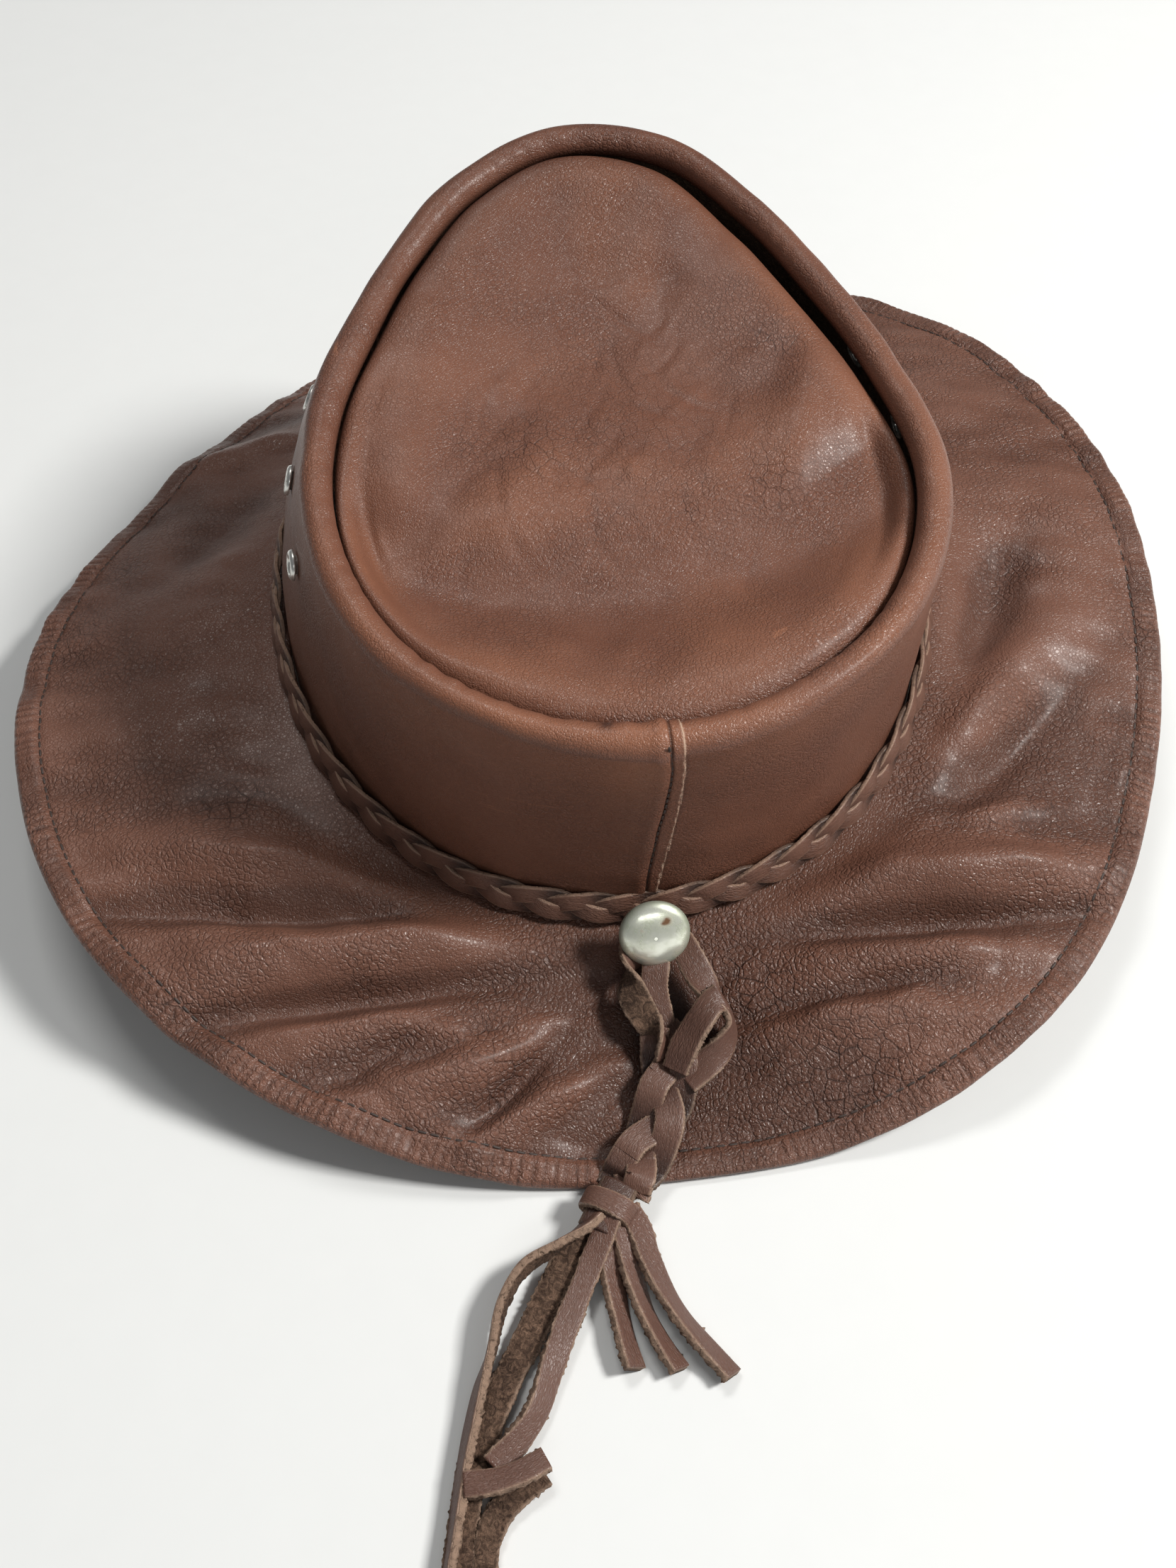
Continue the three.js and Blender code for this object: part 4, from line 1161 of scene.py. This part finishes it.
def buttonReach():
    # how far the tilted button reaches past the middle of its foot, towards +Y and +Z
    c = math.cos(button["tilt"])
    s = math.sin(button["tilt"])
    t = linspace(0, back, 60)
    r = button["radius"] * sin(t)
    h = button["dome"] * cos(t)
    return (h * c + r * s).max(), (h * s + r * c).max()


makeButton()


# Braids: the band around the crown and the tail over the brim

band = dict(height=0.010, thickness=0.004, standOff=0.0006, lean=math.radians(16), crossings=48,
            half=0.0025, thick=0.0006, fuzz=0.00003, sway=0.0021, weave=0.0006)


def braidOffsets(phase, sway, weave, snap):
    # across and over-under offsets of one strand of three: a wave that is steeper across the middle
    across = sway * (sin(phase) + snap * sin(3 * phase)) / (1 - 0.8 * snap)
    over = weave * sin(2 * phase)
    return across, over


def strand(path, up, phase, shape, seed, worn, deep, **more):
    # one strand of a plait, rubbed where it comes over the others and with painted shade where it dives
    # under them
    over = (0.5 + 0.5 * sin(2 * phase))[:, None]
    return strip(path, up, shape["half"], shape["thick"], fuzz=shape["fuzz"], seed=seed,
                 worn=worn * over ** 2, deep=deep * (1 - over) ** 2, **more)


def makeBand():
    # three flat strands plaited around the crown's foot, leaning in towards the wall at the top
    count = 1500
    angle = arange(count) / count * fullTurn
    periods = band["crossings"] / 3
    shells = []
    c = math.cos(band["lean"])
    s = math.sin(band["lean"])
    for number in range(3):
        phase = angle * periods + number * fullTurn / 3
        across, over = braidOffsets(phase, band["sway"], band["weave"], 0.08)
        middle = band["standOff"] + band["thickness"] / 2
        up = across * c + over * s
        outward = middle + over * c - across * s
        x, y, out = oval(angle, outward)
        z = footHeight(angle) + hat["leather"] / 2 + hat["gap"] + band["height"] / 2 + up
        path = stack([x, y, z], -1)
        normal = concatenate([out * c, np.full((count, 1), s)], -1)
        # the 0.8 is painted shade where a strand dives under the others
        shells.append(strand(path, normal, phase, band, number, 0.5, 0.8, closed=True, sides=14))
    makePiece("braidedBand", shells, finish["braidLeather"], "braid_leather", "hat_band")


makeBand()

tail = dict(width=0.011, half=0.0036, thick=0.00095, fuzz=0.00012, sway=0.0036, weave=0.0015,
            pitch=0.048, phase=0.9)

# The tail's straps: across as a share of the tail's width, along as a share of the brim's reach,
# height in millimetres, and roll in degrees (the skin faces up at 0)
strapRows = dict(
    leftTwisted=[(0.35, 0.13, 25, 0), (0.5, 0.2, 24, -25), (0.64, 0.27, 22, -110),
                 (0.58, 0.35, 20, -165), (0.38, 0.42, 18, -160), (0.12, 0.475, 16, -70),
                 (-0.02, 0.53, 13, 0)],
    leftFlat=[(-0.02, 0.12, 24, 0), (0.02, 0.24, 22.5, 6), (0.12, 0.31, 20, 0),
              (0.13, 0.37, 17, 0), (0.1, 0.435, 14, 0)],
    rightOuter=[(-0.42, 0.13, 24.5, 10), (-0.66, 0.21, 24.5, 20), (-0.86, 0.3, 23, 5),
                (-1.06, 0.37, 21.5, -25), (-1.34, 0.42, 19.5, -60), (-1.42, 0.475, 17, -75),
                (-1.2, 0.53, 15, -55), (-0.8, 0.575, 13, -15), (-0.3, 0.62, 11, 0)],
    rightInner=[(-1.26, 0.4, 22.5, -35), (-1.02, 0.425, 22.5, -5), (-0.78, 0.465, 21.5, 12),
                (-0.52, 0.505, 19.5, 14), (-0.28, 0.55, 17, 6), (-0.1, 0.59, 13.5, 0)],
)

# The tail's braid: across and along as above
braidRows = [(-0.1, 0.43), (-0.07, 0.475), (-0.04, 0.52), (0.03, 0.59), (0.26, 0.69),
             (0.57, 0.777), (0.92, 0.86), (1.36, 0.945)]


def tailPlaces(rows, count):
    # rows of places on the tail as a smooth path; columns past the second keep their values
    table = array(rows, float)
    table[:, 0] = axisX + table[:, 0] * tail["width"]
    table[:, 1] = axisY + halfLength + table[:, 1] * brim["reach"]
    return smoothPath(table, count)


def brimUnder(path, reach):
    # the highest brim point within a strip's half width, smoothed along the strip
    turns = arange(6) / 6 * fullTurn
    ring = [(0, 0)] + [(reach * math.cos(t), reach * math.sin(t)) for t in turns]
    heights = [max(onBrim(x + dx, y + dy) for dx, dy in ring) for x, y in path]
    padded = np.pad(heights, 3, mode="edge")
    return np.maximum(np.convolve(padded, np.ones(7) / 7, mode="valid"), heights)


def makeTail():
    # four twisted straps below the button, each held clear of the brim, and the braid after them
    shells = []
    for number, rows in enumerate(strapRows.values()):
        table = array(rows, float)
        table[:, 2] /= 1000
        table[:, 3] = np.radians(table[:, 3])
        path = tailPlaces(table, 90)
        roll = path[:, 3]
        path = path[:, :3]
        rest = brimUnder(path[:, :2], tail["half"] * 0.8)
        need = tail["thick"] * np.abs(cos(roll)) + tail["half"] * np.abs(sin(roll)) + hat["gap"]
        path[:, 2] = np.maximum(path[:, 2], rest + need)
        wide = tail["half"] * (1 + 0.05 * waves(path, 0.01, 61 + number))
        shells.append(strip(path, rolled(path, roll), wide, tail["thick"], fuzz=tail["fuzz"],
                            seed=70 + number, worn=0.3))
    makePiece("tailBraid", shells + tailStrands(), finish["laceLeather"], "braid_leather", "tail_braid")


def tailStrands():
    # three broad strands plaited over the brim, resting on it
    count = 200
    flat = tailPlaces(braidRows, count)
    rest = brimUnder(flat[::10], tail["width"] * 0.4)
    z = np.interp(arange(count), arange(0, count, 10), rest) + hat["gap"]
    centre = concatenate([flat, (z + tail["weave"] + tail["thick"] * 1.4)[:, None]], -1)
    along = direction(centre)
    side = unit(np.cross(along, [0, 0, 1.0]))
    up = np.cross(side, along)
    length = lengthAlong(centre)
    shells = []
    for number in range(3):
        phase = length / tail["pitch"] * fullTurn + tail["phase"] + number * fullTurn / 3
        across, over = braidOffsets(phase, tail["sway"], tail["weave"], 0.1)
        path = centre + side * across[:, None] + up * over[:, None]
        # the 0.7 is painted shade where a strand dives under the others
        shells.append(strand(path, up, phase, dict(tail, fuzz=0.00011), 80 + number, 0.6, 0.7))
    return shells


makeTail()


# The tassel

tassel = dict(half=0.0029, thick=0.0011, fuzz=0.00016, floorGap=0.0001, broadLace=4, broader=1.16)
knot = dict(place=(0.0188, 0.1722, 0.0066), along=(0.55, 0.83, 0.0), across=0.0056, up=0.0033,
            turns=1.08, start=-0.30, advance=0.0012, half=0.0026, thick=0.00095, fuzz=0.0001)
bundle = dict(reach=0.0062, sag=0.0006, half=0.0046, thick=0.0024)

# Its laces, from the knot out: x, y and z from the crown's axis in millimetres, and roll in degrees
laceRows = [
    [(18.8, 174, 7, 0), (19.4, 180, 5.2, -15), (19.7, 186.5, 3.6, -38), (19.4, 194, 2.9, -50),
     (18.6, 202, 2.6, -52), (17.4, 208.6, 2.4, -45)],
    [(16.6, 174, 6.6, 0), (15.6, 180, 5.2, -20), (15.2, 187, 3.8, -42), (13.8, 195, 3, -50),
     (11, 203, 2.6, -48), (7.6, 210, 2.3, -38)],
    [(14.6, 173, 6.2, 0), (12.2, 178, 5.4, -18), (11, 184.5, 4.6, -36), (8, 193.6, 3.5, -46),
     (3, 203, 2.8, -46), (-3.7, 212.6, 2.3, -36)],
    [(21.5, 173.5, 7.4, 40), (24.5, 176.5, 7.2, 60), (31.2, 180.1, 6.6, 82),
     (39.5, 184.2, 6.3, 92), (45, 191.9, 6, 95), (48.3, 201.7, 5.2, 84), (51.4, 209.2, 4.4, 70),
     (54.2, 217.9, 3.8, 62), (56.6, 226.6, 3.4, 66), (59.6, 240, 3.1, 72), (62.5, 252, 3, 76),
     (64, 261, 3, 76)],
    [(20.6, 174, 5.4, 140), (24.5, 178, 4.4, 160), (31, 184.7, 3, 172), (35.8, 191.9, 2, 178),
     (41.4, 200.9, 1.6, 180), (46.8, 209.4, 1.4, 183), (51, 217.6, 1.3, 180),
     (54.6, 226, 1.3, 180), (56.6, 233, 1.3, 178), (58.8, 244, 1.3, 180), (60.4, 256.5, 1.3, 180)],
    [(18.6, 174.6, 8.2, 0), (21.2, 179.5, 6.4, 0), (25.2, 186.4, 4.8, -4),
     (30.6, 196.2, 3.9, -12), (35.6, 206.4, 3.8, -32), (39.4, 214.8, 3.8, -44),
     (44.3, 220.8, 3.6, -36), (50.1, 225.8, 3.4, -18)],
    [(56.4, 229.2, 5.4, 6), (50, 229.4, 5.8, -8), (44, 228.2, 5.8, -14), (38.6, 226, 5.4, -10)],
    [(39.4, 227.8, 2.6, 168), (44.2, 230.6, 2.2, 174), (49.2, 234.4, 1.8, 180),
     (52.4, 240, 1.4, 180), (53.6, 247, 1.3, 180), (54.6, 254.5, 1.3, 180)],
]


def makeTassel():
    # the knot and the laces beyond it, each held clear of the floor
    shells = knotShells()
    for number, rows in enumerate(laceRows):
        table = array(rows, float)
        table[:, :3] /= 1000
        table[:, 3] = np.radians(table[:, 3])
        length = np.linalg.norm(np.diff(table[:, :3], axis=0), axis=1).sum()
        path = smoothPath(table, int(length / 0.00055))
        roll = path[:, 3] + 0.06 * waves(path[:, :3], 0.02, 90 + number)
        path = path[:, :3] + [axisX, axisY, 0]
        wide = tassel["half"] * (1 + 0.05 * waves(path, 0.011, 71 + number))
        if number == tassel["broadLace"]:
            wide = wide * tassel["broader"]
        need = tassel["thick"] * np.abs(cos(roll)) + wide * np.abs(sin(roll)) + tassel["floorGap"]
        path[:, 2] = np.maximum(path[:, 2], need)
        shell = strip(path, rolled(path, roll), wide, tassel["thick"], fuzz=tassel["fuzz"],
                      seed=90 + number, worn=0.3)
        shell["verts"][:, 2] = np.maximum(shell["verts"][:, 2], 0)
        shells.append(shell)
    makePiece("tasselLaces", shells, finish["laceLeather"], "lace_leather", "tassel")


def knotShells():
    # one lace wrapped over the bundle, its end tucked under, and the bundle inside it
    middle = array([axisX, axisY, 0]) + knot["place"]
    along = unit(array(knot["along"]))
    side = array([along[1], -along[0], 0.0])
    up = array([0, 0, 1.0])
    t = linspace(0, 1, 120)
    turn = fullTurn * (t * knot["turns"] + knot["start"])
    c = cos(turn)
    s = sin(turn)
    path = (middle + np.outer(knot["advance"] * (t - 0.5), along)
            - np.outer(c * knot["across"], side) + np.outer(s * knot["up"], up))
    lift = unit(np.outer(s, up) - np.outer(c * 0.6, side))
    wide = knot["half"] * (1 + 0.06 * sin(5 * t))
    wrap = strip(path, lift, wide, knot["thick"], fuzz=knot["fuzz"], seed=99, worn=0.4)
    core = linspace(-1, 1, 24)
    path = (middle + np.outer(core * bundle["reach"], along)
            - np.outer(bundle["sag"] * np.abs(core), up))
    # the bundle gets painted shade where the wrap covers it
    inside = strip(path, np.tile(up, (24, 1)), bundle["half"], bundle["thick"], square=0.8, deep=0.3)
    return [wrap, inside]


makeTassel()


# Floor, light and camera

floorHalf = 3.0

# Area lights: place from the crown's axis, size, power and colour
lights = dict(
    keyLight=((-1.15, 0.3, 1.3), (0.36, 0.36), 35, (1.0, 0.985, 0.95)),
    topLight=((0.25, -0.85, 1.9), (0.8, 0.45), 13, (1.0, 0.99, 0.96)),
    roomLight=((0.0, 1.35, 1.0), (1.1, 0.25), 2.6, (1.0, 1.0, 0.97)),
)
world = dict(colour=(0.95, 0.97, 1.0, 1), strength=0.135)


def makeFloor():
    corner = [(-floorHalf, -floorHalf, 0), (floorHalf, -floorHalf, 0),
              (floorHalf, floorHalf, 0), (-floorHalf, floorHalf, 0)]
    mesh = bpy.data.meshes.new("paleFloor")
    mesh.from_pydata(corner, [], [(0, 1, 2, 3)])
    floor = bpy.data.objects.new("paleFloor", mesh)
    bpy.context.scene.collection.objects.link(floor)
    mesh.materials.append(finish["paleFloor"])


def makeLight(name, offset, size, power, colour):
    # a rectangle of light turned towards the hat's middle
    light = bpy.data.lights.new(name, "AREA")
    light.shape = "RECTANGLE"
    light.size, light.size_y = size
    light.energy = power
    light.color = colour
    lamp = bpy.data.objects.new(name, light)
    lamp.location = (axisX + offset[0], axisY + offset[1], offset[2])
    aim = Vector((axisX, axisY, 0.05)) - lamp.location
    lamp.rotation_euler = aim.to_track_quat("-Z", "Y").to_euler()
    bpy.context.scene.collection.objects.link(lamp)


def makeStudio():
    makeFloor()
    for name, settings in lights.items():
        makeLight(name, *settings)
    scene = bpy.context.scene
    scene.view_settings.view_transform = "Standard"
    scene.world = scene.world or bpy.data.worlds.new("studio")
    scene.world.use_nodes = True
    background = scene.world.node_tree.nodes["Background"]
    background.inputs["Color"].default_value = world["colour"]
    background.inputs["Strength"].default_value = world["strength"]


camera = dict(place=(0.0347, 0.3338, 0.3769), forward=(-0.0548, -0.6085, -0.7917),
              roll=math.radians(-1.92), focal=2400, pictureHeight=2212, sensor=36)


def makeCamera():
    # the photograph's own viewpoint, given from the crown's axis
    lens = bpy.data.cameras.new("photoView")
    lens.sensor_width = camera["sensor"]
    lens.lens = camera["sensor"] * camera["focal"] / camera["pictureHeight"]
    view = bpy.data.objects.new("photoView", lens)
    forward = Vector(camera["forward"]).normalized()
    level = forward.cross(Vector((0, 0, 1))).normalized()
    upright = level.cross(forward)
    right = level * math.cos(camera["roll"]) + upright * math.sin(camera["roll"])
    up = right.cross(forward)
    turn = Matrix((right, up, -forward)).transposed().to_4x4()
    place = Vector(camera["place"]) + Vector((axisX, axisY, 0))
    view.matrix_world = Matrix.Translation(place) @ turn
    bpy.context.scene.collection.objects.link(view)
    bpy.context.scene.camera = view


makeStudio()
makeCamera()
print("studio ready")
